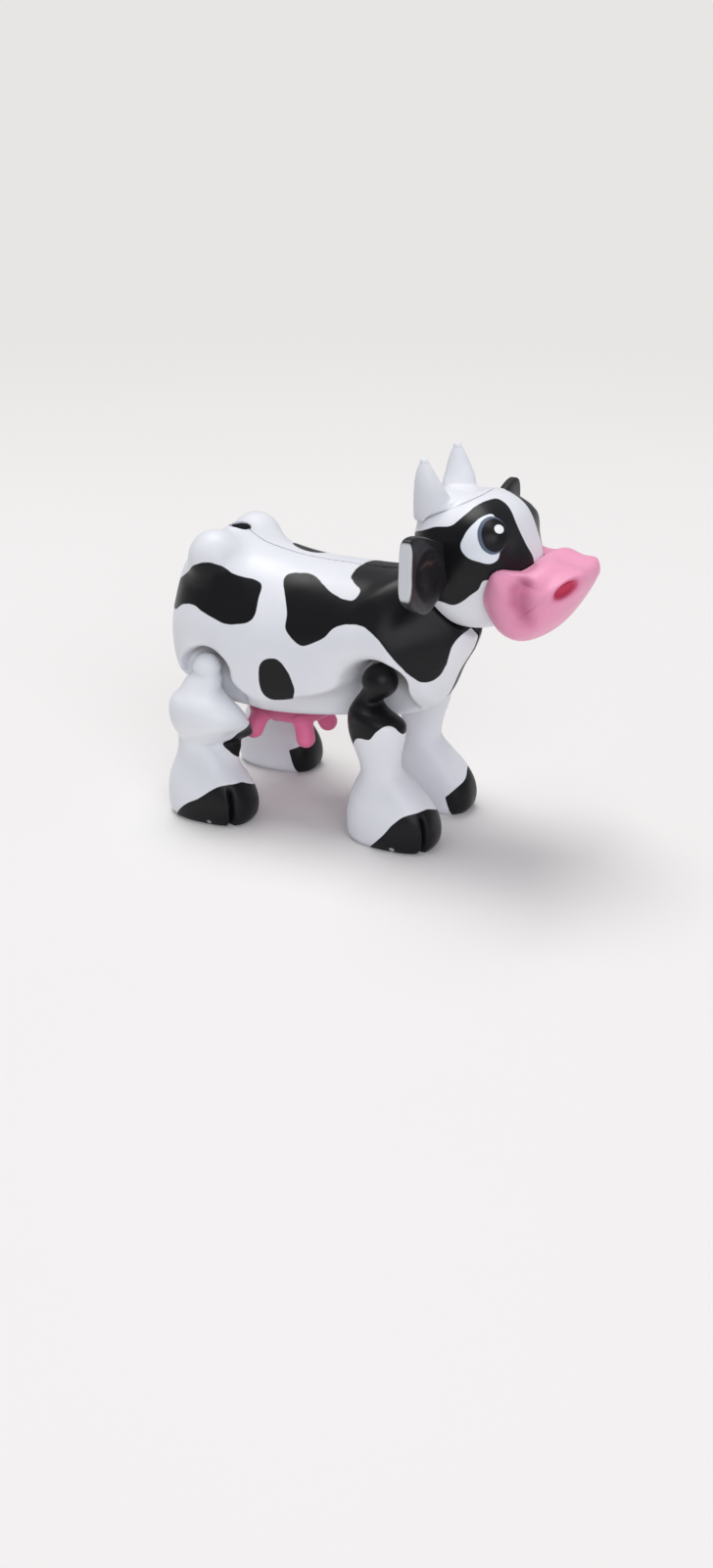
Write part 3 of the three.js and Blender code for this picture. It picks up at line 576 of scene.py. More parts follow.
def tail_hole(p, radius, depth):
    """Raises a low mound on the croup and sinks the hole in it, after drawing the points round it in to
    the rim. Returns the points and how deep each one has sunk."""
    dx, y, z = p[..., 0] - TAIL_X, p[..., 1], p[..., 2]
    gap = np.hypot(dx, y) + 1e-9
    z = z + TAIL_MOUND * bell(gap, 2) * smoothstep(HIP_Z - 4.5, HIP_Z - 3.0, z)
    near = (z > HIP_Z - 2.5) & (gap < 2 * radius)
    pull = np.where(near, -(gap - radius) * 0.75 * bell(gap - radius, 0.4 * radius), 0)
    x = p[..., 0] + dx / gap * pull
    y = y + y / gap * pull
    gap = gap + pull
    rim = 0.06 * bell(gap - 1.15 * radius, 0.2 * radius)
    sink = np.where(near, depth * (1 - smoothstep(0.9 * radius, radius, gap)) - rim, 0)
    return np.stack([x, y, z - sink], -1), sink


def near_tail(points):
    """Weight that crowds the body's columns at the tail hole."""
    return 1 + 2.2 * bell(points[:, 0] - TAIL_X, 1.6) * (points[:, 1] > BODY.centre[1])


def body_shell(side):
    """Half a pillow with leg arches sunk in, a hip knob pushed out and the neck end cut flat, then back
    along the inside, a wall's thickness in. Returns the points and how deep the tail hole sank each."""
    rim = BODY.rim(BODY_COLUMNS, near_tail)
    shares = BODY.shares(BODY_RINGS, 14, 8.5)
    at_seam = 1 - np.array([3e-4, 8e-5, 1.5e-5, 0])
    x, z = BODY.spread(rim, np.concatenate([shares[:-1], at_seam]))
    x, z = drawn_in(x, z, BODY.share(x, z))
    y = BODY.half_width(x, z)
    for arch in ARCHES.values():
        y = soft_min(y, arch_height(arch, x, z), np.minimum(1.5, 0.4 * y))
    outer = np.stack([x, y, z], -1)
    outer = pushed_out(outer, HIP_KNOB, HIP_KNOB_RADIUS, 1.9 + 2.7 * smoothstep(29, 26.2, z))
    outer, sunk = tail_hole(outer, TAIL_HOLE_RADIUS, TAIL_HOLE_DEPTH)
    outer = held_behind(outer, NECK, NECK_AXIS, 0.3)
    toward = (np.array([BODY.centre[0], 0, BODY.centre[1]]) - outer) * [1, 0, 1]
    groove = GROOVE_DEPTH * bell(outer[..., 1], GROOVE_WIDTH)
    outer = outer + groove[..., None] * toward / np.linalg.norm(toward + 1e-9, axis=-1, keepdims=True)
    away = rim - BODY.centre
    inner_rim = BODY.centre + away * (1 - BODY_WALL / np.hypot(*away.T))[:, None]
    x, z = BODY.spread(inner_rim, BODY.shares(22, 13, 7.5)[::-1])
    y = BODY.half_width(x, z, -BODY_WALL)
    for arch in ARCHES.values():
        y = np.minimum(y, arch_height(arch, x, z) - BODY_WALL)
    inner, _ = tail_hole(np.stack([x, np.maximum(y, 0), z], -1), TAIL_HOLE_RADIUS + 0.65, TAIL_HOLE_DEPTH)
    inner = held_behind(inner, NECK - BODY_WALL * NECK_AXIS, NECK_AXIS, 0.3)
    skin = np.concatenate([outer, inner])
    skin[..., 1] = (skin[..., 1] + SEAM) * side
    return skin, np.concatenate([sunk, np.zeros(inner.shape[:2])])


HAUNCH = [
    (-17.3, 22.2), (-16.9, 23), (-16.2, 23.9), (-15.3, 24.8), (-14.3, 25.5), (-13.1, 26.4), (-11.6, 27.5),
    (-9.9, 28), (-8.9, 27.7), (-7.4, 26.9), (-4.9, 26.4), (-4.3, 26), (-4.2, 25), (-4.3, 23.2),
    (-5, 22.6), (-7.5, 22.2), (-8.5, 22.5), (-10.5, 23.1), (-11.6, 23.4), (-13.3, 23.1), (-14.8, 22.1),
]
SHOULDER = [
    (-2.3, 26.6), (-2.2, 27), (-0.9, 27.2), (0.6, 27.1), (2.1, 26.6), (3.4, 26.1), (4.8, 25.8),
    (6, 25.9), (6.3, 26.5), (5.2, 27), (4.3, 27.5), (4.6, 29.5), (12, 30.5), (19, 26), (18, 23.3),
    (16.3, 22.8), (15.6, 21.8), (15, 19.7), (14.1, 18.2), (13.2, 18), (12.3, 18.9), (11.4, 20.3),
    (10.4, 21.7), (9.2, 23), (7.8, 23.8), (6.3, 23.9), (4.8, 23.4), (3.7, 22.3), (2.6, 21.6), (1.3, 21.1),
    (0.2, 21.6), (-0.7, 22.5), (-0.8, 23.8), (-1.4, 25.1),
]
BELLY_SPOT = [
    (-3.5, 18.3), (-2.8, 19.1), (-1.6, 19.3), (-0.5, 18.4), (0.2, 16.9), (0.3, 15.9), (-0.2, 15),
    (-1.4, 14.7), (-2.6, 14.7), (-3.3, 15.3), (-3.6, 16.4),
]
# The left side's patches are laid out over x and a slanted direction that runs up and inwards.
SLANT_UP = 0.75
SLANT_IN = 0.66
LEFT_HAUNCH = [
    (-15.2, 8.6), (-16.2, 10.9), (-14.9, 13.6), (-12.2, 14.1), (-9.6, 12.9), (-7.7, 13.2), (-6.6, 11.6),
    (-8.1, 10.5), (-10.6, 10.6), (-12.4, 9.6), (-13.6, 8.4),
]
LEFT_FLANK = [
    (-5.2, 19.6), (-3.2, 20.3), (-1.5, 19.8), (-1.2, 17.5), (-0.6, 15.5), (0.5, 13.6), (1.5, 11.6),
    (0.8, 9.6), (-1.5, 8.6), (-3.7, 9.7), (-4.8, 12.2), (-4.3, 15.1), (-5.2, 17.8),
]
LEFT_SHOULDER = [
    (4.6, 22), (4.4, 18.9), (5.6, 15), (7.9, 13), (9.4, 12), (11.6, 12.3), (12.6, 11.5), (12.6, 10.5),
    (13.8, 10.2), (15.2, 12), (16.2, 14.2), (17, 16), (19, 18), (14, 22.5),
]


def body_paint(skin, sunk, side):
    """Black patches, painted shade high in the leg arches, and painted shade in the tail hole."""
    x, y, z = np.moveaxis(skin, -1, 0)
    marks, height = (HAUNCH, SHOULDER, BELLY_SPOT), z
    if side == LEFT:
        marks, height = (LEFT_HAUNCH, LEFT_FLANK, LEFT_SHOULDER), SLANT_UP * z - SLANT_IN * y
    black = np.max([patch(x, height, mark) for mark in marks], axis=0)
    # Painted shade: darker deep in each leg arch, close to its wall and above the leg's pin.
    crevice = np.zeros(x.shape)
    for arch in ARCHES.values():
        reach, edge, _ = arch_reach(arch, x, z)
        floor, lip = arch["floor"], arch["lip"]
        deep = 1 - smoothstep(floor + 0.1, floor + 0.65 * (lip - floor) + 1.4, np.abs(y))
        near = 1 - smoothstep(0.2, 2.0, reach - edge)
        above = smoothstep(-1.4, 0.9, z - arch["z"] - 0.5 * (arch["x"] - x))
        crevice = np.maximum(crevice, deep * near * above)
    # The tail hole is painted dark below its rim, as painted shade.
    return {"black": black, "crevice": crevice, "hole_shade": sunk - 0.15}


for word, side in SIDES.items():
    shell, sunk = body_shell(side)
    skin = (shell, body_paint(shell, sunk, side))
    node = f"body_shell_{word}"
    moulding(f"body_{word}", [skin], "body", [node], body_finish)


# Legs. Worked out for the right side, and turned over for the left one.

FOOT_LENGTH = 10.1
FOOT_WIDTH = 6.5
INSTEP = 6.2
TURN_GAP = 0.3
WEB_Z = 8.9
WEB_HALF_HEIGHT = 2.1
WEB_INWARD = 0.55
LEG_ROWS = 150
LEG_COLUMNS = 160

# Over the height: how far the hoof is drawn in behind, in front and at each side.
HOOF_TRIMS = [
    (0, 0.5, 0.55, 0.45), (0.7, 0.1, 0.1, 0.1), (2, 0, 0, 0), (0.55 * INSTEP, 0.05, 0.4, 0.1),
    (0.78 * INSTEP, 0.3, 1.3, 0.4), (INSTEP, 0.8, 2.6, 0.85),
]


def oval(height, x, y, half_length, half_width):
    """A section: its height, its rear and front edge, and its outer and inner edge."""
    return (height, x - half_length, x + half_length, -y - half_width, -y + half_width)


def leg_sections(arch):
    """Sections from the sole up: the hoof, the shank with its knee or thigh, and the knob in the arch."""
    x, y = arch["foot"]
    half, wide = FOOT_LENGTH / 2, FOOT_WIDTH / 2
    rows = [
        (height, x - half + back, x + half - front, -y - wide + trim, -y + wide - trim)
        for height, back, front, trim in HOOF_TRIMS
    ]
    rows += [oval(share * arch["z"], arch["x"] + ahead, *rest) for share, ahead, *rest in arch["shank"]]
    knob_y = arch["floor"] + TURN_GAP + 0.85 * arch["knob"]
    for share in (-0.35, 0, 0.4, 0.75, 0.93, 0.995):
        radius = arch["knob"] * np.sqrt(1 - share * share)
        height = arch["z"] + share * arch["knob"]
        rows.append(oval(height, arch["x"] + arch["aside"], knob_y, radius, radius))
    return rows


def leg(arch):
    """A loft: a superellipse at every height, its four edges on smooth curves through the sections, with a
    web on the inner front quarter and a groove that splits the toe. Returns the points and how far each is
    inside the web's painted edge."""
    sections = leg_sections(arch)
    back, front, low, high = (through([(row[0], row[k]) for row in sections]) for k in (1, 2, 3, 4))
    t = np.linspace(0, 1, LEG_ROWS)
    height = sections[-1][0] * (t - 0.06 * np.sin(2 * np.pi * t))
    split = np.radians(arch["split"])
    turn = full_turn(LEG_COLUMNS)
    turn = turn - 0.45 * np.sin(turn) + split
    power = (2.6 - 0.6 * smoothstep(0.2 * arch["z"], 0.6 * arch["z"], height))[:, None]
    ahead, inward = squircle(np.cos(turn), power), squircle(np.sin(turn), power)
    mid_x, half_x = (back(height) + front(height)) / 2, (front(height) - back(height)) / 2
    mid_y, half_y = (low(height) + high(height)) / 2, (high(height) - low(height)) / 2
    z = np.broadcast_to(height[:, None], ahead.shape)
    grown = arch["web"] * bell(z - WEB_Z, WEB_HALF_HEIGHT)
    grown = grown * smoothstep(0.2, 0.95, 0.6 * ahead + 0.8 * inward)
    x = mid_x[:, None] + half_x[:, None] * ahead + grown
    y = mid_y[:, None] + half_y[:, None] * inward + WEB_INWARD * grown
    side = np.stack([x, y, z], -1)
    way = np.array([np.cos(split), np.sin(split)])
    off_middle = side[..., :2] - np.array(arch["foot"]) * [1, -1]
    along, across = off_middle @ way, off_middle @ np.array([-way[1], way[0]])
    depth = 0.75 * bell(across, 0.24) * smoothstep(1.5, 3.0, along) * (1 - smoothstep(3.4, 4.6, z))
    side[..., :2] -= depth[..., None] * way
    wall = -(arch["floor"] + TURN_GAP)
    knob = smoothstep(arch["z"] - 4.6, arch["z"] - 3.6, z)
    side[..., 1] += knob * (soft_min(side[..., 1], wall, 0.25) - side[..., 1])
    middle = np.array([mid_x[0], mid_y[0], 0])
    sole = middle + (side[:1] - middle) * np.linspace(0.12, 0.985, 10)[:, None, None]
    painted = np.concatenate([np.full(sole.shape[:2], -1), 3 * (grown / max(arch["web"], 1) - 0.3)])
    return np.concatenate([sole, side]), painted


# How high the paint on each hoof reaches, over how far ahead of the hoof's middle: outside, then inside.
HOOF_EDGES = {
    "rear": (
        [(-3.6, -0.1), (-1.9, 1.8), (0.15, 3.1), (2.35, 4.6), (5.1, 4.5)],
        [(2, 2.7), (3, 3.1), (5.1, 4)],
    ),
    "front": (
        [(-1.6, -0.1), (0.15, 1.9), (1.2, 3.3), (2.35, 4.3), (3.85, 4.6), (5.1, 4.7)],
        [(2, 1.7), (2.8, 2.3), (3.9, 3.4), (5.1, 4.6)],
    ),
}
KNEE_EDGE = [
    (5.2, 9.2), (6.1, 9.8), (6.7, 11.2), (7.2, 12), (7.8, 12.3), (8.9, 12.4), (9.6, 13.3), (10.4, 13.9),
    (11.2, 13.6), (11.8, 12.8),
]
WORN_RADIUS = 0.28


def hoof_paint(rows, foot, outer_edge, inner_edge):
    """Black below the painted edge, which rises to the toe. On the inside only the toe is black."""
    ahead, z = rows[..., 0] - foot[0], rows[..., 2]
    outer = through(outer_edge)(ahead) - z
    inner = np.minimum(ahead - 3.4 + 0.25 * z, through(inner_edge)(ahead) - z)
    share = smoothstep(-0.8, 1.6, rows[..., 1] + foot[1])
    return outer * (1 - share) + inner * share


def leg_paint(rows, painted, name, side):
    """Black hooves, and on the right a black knee in front and a black web behind."""
    arch = ARCHES[name]
    x, y, z = np.moveaxis(rows, -1, 0)
    black = hoof_paint(rows, arch["foot"], *HOOF_EDGES[name])
    if side == RIGHT:
        black = np.maximum(black, painted if name == "rear" else z - through(KNEE_EDGE)(x))
    worn_gap = np.hypot(np.hypot(x - arch["foot"][0] - 1.1, z - 0.35), 0.4 * (y + arch["worn_y"]))
    # Darker towards the sole: the crevice value rises over the last half millimetre above it.
    return {"black": black, "worn": WORN_RADIUS - worn_gap, "crevice": smoothstep(0.5, 0.0, z)}


for name, arch in ARCHES.items():
    for word, side in SIDES.items():
        rows, painted = leg(arch)
        skin = (rows * [1, -side, 1], leg_paint(rows, painted, name, side))
        node = f"{name}_leg_{word}"
        moulding(f"{name}_limb_{word}", [skin], node, [node], leg_finish)


# Head. Everything from here to the udder is measured from the neck joint.

HEAD_BACK = -3.1
HEAD_FRONT = 9.1
HEAD_TOP = 11.4
HEAD_BOTTOM = -1.9
CAP_REAR = 8.3
CAP_FRONT = 3.4


def head_widest(x, z):
    upper = through([(HEAD_BACK, 5.9), (0, 6.6), (4.5, 6.9), (7, 6.2), (HEAD_FRONT, 4.9)])(x)
    lower = through([(HEAD_BACK, 5), (0, 5.3), (5, 5), (HEAD_FRONT, 4)])(x)
    share = smoothstep(1.5, 7, z)
    return upper * share + lower * (1 - share)


HEAD = Pillow(
    (3, 4.6),
    [
        (HEAD_BACK, 4.5), (HEAD_BACK, CAP_REAR), (HEAD_BACK + 1.4, HEAD_TOP - 0.8), (1.2, HEAD_TOP - 0.2),
        (4.2, HEAD_TOP), (HEAD_FRONT - 2.4, HEAD_TOP - 1.3), (HEAD_FRONT - 0.9, 7.4), (HEAD_FRONT, 4.6),
        (HEAD_FRONT - 0.6, 1.8), (HEAD_FRONT - 2.6, HEAD_BOTTOM + 1), (3.3, HEAD_BOTTOM),
        (0.4, HEAD_BOTTOM + 0.6), (-2.2, 1.2),
    ],
    head_widest,
    3.2,
    2.2,
)

CAP_POINT = np.array([HEAD_BACK, 0, CAP_REAR])
CAP_SLOPE = unit(np.array([CAP_FRONT - HEAD_BACK, 0, HEAD_TOP - 0.1 - CAP_REAR]))
CAP_NORMAL = np.array([-CAP_SLOPE[2], 0, CAP_SLOPE[0]])
CAP_SEAM = 0.06


def to_right(p):
    """Factors that mirror the left side's points onto the right side, and back again."""
    return np.where(p[..., 1:2] > 0, [1, -1, 1], [1, 1, 1])


def closed_pillow(shape, columns, rings, reach, width):
    """The whole pillow from the right pole over the rim to the left pole."""
    x, z = shape.spread(shape.rim(columns), shape.shares(rings, reach, width))
    y = shape.half_width(x, z)
    right = np.stack([x, -y, z], -1)
    left = np.stack([x, y, z], -1)[:-1][::-1]
    return np.concatenate([right, left])


# The photograph's sideways and upward directions. Paint on the face is laid out as seen along its view.
ACROSS = np.array([0.9018, 0.4321, 0.0])
UPWARD = np.array([-0.1826, 0.3811, 0.9063])


def seen(p):
    p = np.array(p, float)
    return np.stack([p @ ACROSS, p @ UPWARD], -1)


MASK = [
    (-1, -5.6, 8.5), (0.5, -5.8, 9), (2, -5.7, 9.2), (2.9, -5, 10), (3.7, -3.7, 10.8),
    (4.3, -2.4, 11.1), (4.9, -1.3, 11.1), (6, -1.4, 10.6), (7.3, -2, 8.8), (8.1, -1.7, 7.2),
    (8.8, -1.2, 5.6), (8.9, -2.4, 4.4), (8.4, -4, 4.6), (7.2, -5, 4.6), (6.2, -5.7, 4.6),
    (5.5, -5.9, 4.4), (5.2, -5.7, 3.9), (4.9, -5.4, 3.4), (3.9, -5.2, 2.5), (3, -5, 1.7),
    (2.1, -4.9, 1.3), (0.7, -4.8, 1.5), (-1.5, -5, 1.6), (-4.5, -5, 2.5), (-5.5, -5, 6),
    (-4, -5, 9.2),
]
EYE = [
    (3.4, -6.6, 7.6), (3.6, -6.2, 8.6), (4.1, -5.5, 9.5), (4.7, -4.6, 10.1), (5.35, -3.8, 10.2),
    (5.8, -3.9, 9.7), (6.15, -4.05, 8.9), (6.35, -4.4, 8), (6.6, -4.8, 7.1), (6.6, -5.3, 6.4),
    (6.1, -5.9, 6.1), (5.1, -6.4, 6.3), (4.1, -6.7, 6.7),
]
# How far the mask stops short of the middle line.
MASK_GAP_RIGHT = 1.0
MASK_GAP_LEFT = 2.2
PUPIL_CENTRE = (6.15, -5.1, 8.65)
GLINT_CENTRE = (6.3, -4.5, 9)
PUPIL_RADIUS = 1.25
PUPIL_TALL = 1.28
IRIS_RADIUS = 1.42
GLINT_RADIUS = 0.46


def face_paint(p):
    """Mask, eye, pupil and glint on both sides of the face, the left one mirrored."""
    near = p * to_right(p)
    at = seen(near)
    u, v = at[..., 0], at[..., 1]
    middle = -near[..., 1] - np.where(p[..., 1] > 0, MASK_GAP_LEFT, MASK_GAP_RIGHT)
    mask = np.minimum(patch(u, v, seen(MASK)), middle)

    def disc(centre, radius, tall=1.0, aside=0.0):
        gap = at - seen(centre) - [aside, 0]
        return radius - np.hypot(gap[..., 0], gap[..., 1] / tall)

    return {
        "black": mask,
        "eye": patch(u, v, seen(EYE)),
        "iris": disc(PUPIL_CENTRE, IRIS_RADIUS, PUPIL_TALL, -0.2),
        "pupil": disc(PUPIL_CENTRE, PUPIL_RADIUS, PUPIL_TALL),
        "glint": disc(GLINT_CENTRE, GLINT_RADIUS),
    }


EYE_SWELL = np.array([6.3, -4.7, 8.3])
EYE_SWELL_WAY = np.array([0.6, -0.75, 0.25])


def skull():
    """The head's pillow with a swell under each eye, cut off at the horn cap's seam and at the neck's."""
    p = closed_pillow(HEAD, 330, 90, 6.5, 6.5)
    sides = to_right(p)
    swell = 0.65 * bell(np.linalg.norm(p * sides - EYE_SWELL, axis=-1), 1.7)
    p = p + swell[..., None] * EYE_SWELL_WAY * sides
    p = held_behind(p, CAP_POINT, CAP_NORMAL, 0.2)
    return held_behind(p, TURN_GAP * NECK_AXIS, -NECK_AXIS, 0.25)


skull_points = skull()
skin = (skull_points + NECK, face_paint(skull_points))
moulding("skull", [skin], "head", ["head_shell"], head_finish)


def crown_height(x, y):
    """Height of the head's top over (x, y): the z at which its half width has shrunk to y."""

    def holds(z):
        return HEAD.contains(np.stack([x, y, z], -1))

    return halving(np.full(x.shape, HEAD.centre[1]), np.full(x.shape, HEAD_TOP + 0.5), holds)


HORN_X = -1.2
HORN_SPREAD = 3.9
HORN_RISE = 3.7
HORN_TIP = 0.44
HORN_FOOT = -1.8

# Over the height up the horn: its radius, how far ahead and out it leans, and how far its foot stands off.
HORN_RADIUS = [
    (HORN_FOOT, 2.75), (-1.5, 2.45), (-1.1, 2.17), (-0.6, 1.95), (0.2, 1.72), (1, 1.47), (2, 1.12),
    (2.9, 0.74), (3.45, HORN_TIP),
]
HORN_AHEAD = [(HORN_FOOT, 1.15), (-1.2, 0.65), (-0.5, 0.4), (1, 0.2), (2.2, -0.05), (3.7, -0.25)]
HORN_OUT = [(HORN_FOOT, -2), (-1.2, -1.15), (-0.5, -0.65), (1, -0.05), (2.2, 0.2), (3.7, 0.3)]
HORN_FILLET = [(HORN_FOOT, 0), (-1.4, 0.07), (-1, 0.24), (-0.5, 0.5), (0.6, 0.9)]


def crown():
    """The head's top: rays fan out over the cap from a point in its seam, up to the head's surface."""
    centre = CAP_POINT + 3.4 * CAP_SLOPE + CAP_SEAM * CAP_NORMAL
    turn = full_turn(260)
    lift = np.linspace(np.pi / 2, 0, 90)[1:, None]
    way = (
        (np.cos(lift) * np.cos(turn))[..., None] * CAP_SLOPE
        + (np.cos(lift) * np.sin(turn))[..., None] * np.array([0, 1, 0])
        + (np.sin(lift) * np.ones_like(turn))[..., None] * CAP_NORMAL
    )

    def holds(length):
        return HEAD.contains(centre + length[..., None] * way)

    length = halving(np.zeros(way.shape[:2]), np.full(way.shape[:2], 14), holds)
    top = centre + length[..., None] * way
    floor = centre + (top[-1:] - centre) * np.linspace(0.98, 0.1, 8)[:, None, None]
    return np.concatenate([top, floor])


def horn(side):
    """A loft: round sections on a line that leans out and curls up. Its foot spreads over the crown."""
    tip = np.linspace(0, np.pi / 2, 14)[1:]
    rise = np.concatenate([np.linspace(HORN_FOOT, 0.4, 40), np.linspace(0.4, HORN_RISE - 0.25, 60)[1:]])
    radius = np.concatenate([through(HORN_RADIUS)(rise), HORN_TIP * np.cos(tip) + 1e-4])
    rise = np.concatenate([rise, rise[-1] + 0.45 * np.sin(tip)])
    turn = full_turn(96)
    x = (HORN_X + through(HORN_AHEAD)(rise))[:, None] + radius[:, None] * np.cos(turn)
    out = (HORN_SPREAD + through(HORN_OUT)(rise))[:, None]
    y = side * out + 0.92 * radius[:, None] * np.sin(turn)
    hold = smoothstep(-1, 0.6, rise)[:, None]
    fillet = through(HORN_FILLET)(rise)[:, None]
    foot = np.maximum(crown_height(x, y), HEAD_TOP - 2.6) + fillet
    z = foot * (1 - hold) + (HEAD_TOP - 0.4 + rise)[:, None] * hold
    z[0] -= 0.06
    return np.stack([x, y, z], -1)


unpainted = {key: -5 for key, _ in head_coats}
cap_parts = [(part + NECK, unpainted) for part in (crown(), horn(RIGHT), horn(LEFT))]
moulding("crown_and_horns", cap_parts, "head", ["horn_cap"], head_finish)


# Muzzle

MUZZLE_REAR = 3.9
MUZZLE_FRONT = 14.8


def muzzle_widest(x, z):
    return through([(MUZZLE_REAR, 6.8), (8.5, 6.8), (12, 6.2), (MUZZLE_FRONT, 5.2)])(x)


MUZZLE = Pillow(
    (9.6, 2.2),
    [
        (MUZZLE_REAR, 2.6), (MUZZLE_REAR + 0.8, 4.8), (6.8, 5.9), (8.8, 6.15), (10.6, 6.4), (12.5, 5.9),
        (14.1, 5.65), (MUZZLE_FRONT - 0.3, 4.4), (13.2, 1.5), (11.2, -1), (8.6, -2.2), (6.2, -1.4),
    ],
    muzzle_widest,
    2.8,
    2.1,
)
MUZZLE_MIDDLE = np.array([10.2, 0, 2.4])
MUZZLE_ANCHOR = np.array([12.0, 0, 2.6])
SMILE = np.array([
    (9, -5.6, 5.8), (8.7, -6.1, 4.9), (8.5, -6.4, 3.9), (8.7, -6.7, 2.6), (9.4, -6.5, 1.4),
    (10.5, -5.9, 0.6), (11.4, -5, 0.4),
])
SMILE_WIDTH = 0.55
SMILE_SHADE = SMILE + [0.75, 0.1, -0.1]
CHEEK = np.array([6.4, -6.4, 4.7])
NOSTRIL_CENTRE = np.array([13.05, -4.35, 4.1])
NOSTRIL_WAY = unit(np.array([0.72, -0.66, 0.2]))
NOSTRIL_LONG = 0.8 * ACROSS + 0.6 * UPWARD
NOSTRIL_SHORT = 0.8 * UPWARD - 0.6 * ACROSS
NOSTRIL_HALF_LENGTH = 1.4
NOSTRIL_HALF_WIDTH = 0.54


def smile(near):
    """How far the smile crease and the cheek move each point out, and how dark the painted shade in and
    beside the crease is.
    """
    gap, along = line_distance(near, SMILE)
    shade_gap, _ = line_distance(near, SMILE_SHADE)
    ends = smoothstep(0, 0.2, along) * (1 - smoothstep(0.55, 0.95, along))
    lift = -(0.42 * bell(gap, SMILE_WIDTH) + 0.6 * bell(shade_gap, 2 * SMILE_WIDTH)) * ends
    lift = lift + 0.3 * bell(np.linalg.norm(near - CHEEK, axis=-1), 1.6)
    dark = np.maximum(bell(gap, SMILE_WIDTH), 0.9 * bell(shade_gap, 1.15))
    return lift, dark * smoothstep(0, 0.12, along) * (1 - smoothstep(0.65, 1, along))


def nostril(near):
    """How far the nostril moves each point out, its paint, and how dark the painted shade round it is."""
    away = near - NOSTRIL_CENTRE
    gap = np.hypot(away @ NOSTRIL_LONG / NOSTRIL_HALF_LENGTH, away @ NOSTRIL_SHORT / NOSTRIL_HALF_WIDTH)
    front = smoothstep(-2.5, -1.2, away @ NOSTRIL_WAY)
    lift = (0.2 * bell(gap - 1.55, 0.5) - 0.75 * (1 - smoothstep(0.45, 1.15, gap))) * front
    return lift, 0.5 * np.where(front > 0, 1 - gap, -3), (1 - smoothstep(0.6, 1.3, gap)) * front


def muzzle_top(x, wide, z):
    """How far up a lobe at each rear corner and a flatter bridge between them move each point."""
    lobe = bell(x - 6.2, 1.2) * smoothstep(4, 5.2, wide) * smoothstep(2.2, 4.0, z)
    bridge = 0.75 * (1 - smoothstep(3.2, 5.2, wide)) * bell(x - 8.6, 1.2) * smoothstep(3.4, 5.0, z)
    return lobe - bridge


def muzzle():
    """The muzzle's pillow with smile creases, cheek lobes, nostrils and a dip between them. What would be
    inside the head is drawn ahead to the head's surface."""
    p = closed_pillow(MUZZLE, 300, 90, 5.2, 6.8)
    sides = to_right(p)
    near = p * sides
    x, y, z = np.moveaxis(near, -1, 0)
    out = unit(near - MUZZLE_MIDDLE)
    smile_lift, crease = smile(near)
    nostril_lift, paint, edge = nostril(near)
    dip = 0.55 * bell(y, 1.9) * smoothstep(9, 11.5, x) * smoothstep(2.6, 5.6, z)
    up = muzzle_top(x, -y, z)[..., None] * np.array([0, 0, 1.0]) - dip[..., None] * np.array([0.3, 0, 0.95])
    near = near + smile_lift[..., None] * out + nostril_lift[..., None] * NOSTRIL_WAY + up

    def clear_of_head(share):
        return ~HEAD.contains(MUZZLE_ANCHOR + (near - MUZZLE_ANCHOR) * share[..., None], 0.1)

    inside = HEAD.contains(near, 0.1)
    share = halving(np.zeros(inside.shape), np.ones(inside.shape), clear_of_head)
    near = np.where(inside[..., None], MUZZLE_ANCHOR + (near - MUZZLE_ANCHOR) * share[..., None], near)
    return near * sides, {"nostril": paint, "crevice": np.maximum(crease, edge)}


muzzle_points, muzzle_paint = muzzle()
moulding("snout", [(muzzle_points + NECK, muzzle_paint)], "head", ["muzzle"], muzzle_finish)


# Ears

EAR_X = 1.0
EAR_Z = 6.7
EAR_THICKNESS = 1.75
EAR_SLIMNESS = 0.76
EAR_ROOT = 3.7
EAR_TIP = 14.5
EAR_EDGE = 0.3
EAR_CORNER = 0.9
EAR_TOP = [(EAR_ROOT, -0.4), (5.1, 0.1), (6.5, 0.9), (8.5, 1.75), (11.3, 2.75), (13, 3.1), (EAR_TIP, 3.1)]
EAR_BOTTOM = [
    (EAR_ROOT, -2.6), (5.1, -2.9), (6.5, -3.9), (8.3, -4.6), (10.3, -4.9), (12.7, -3.85), (EAR_TIP, -2.75),
]


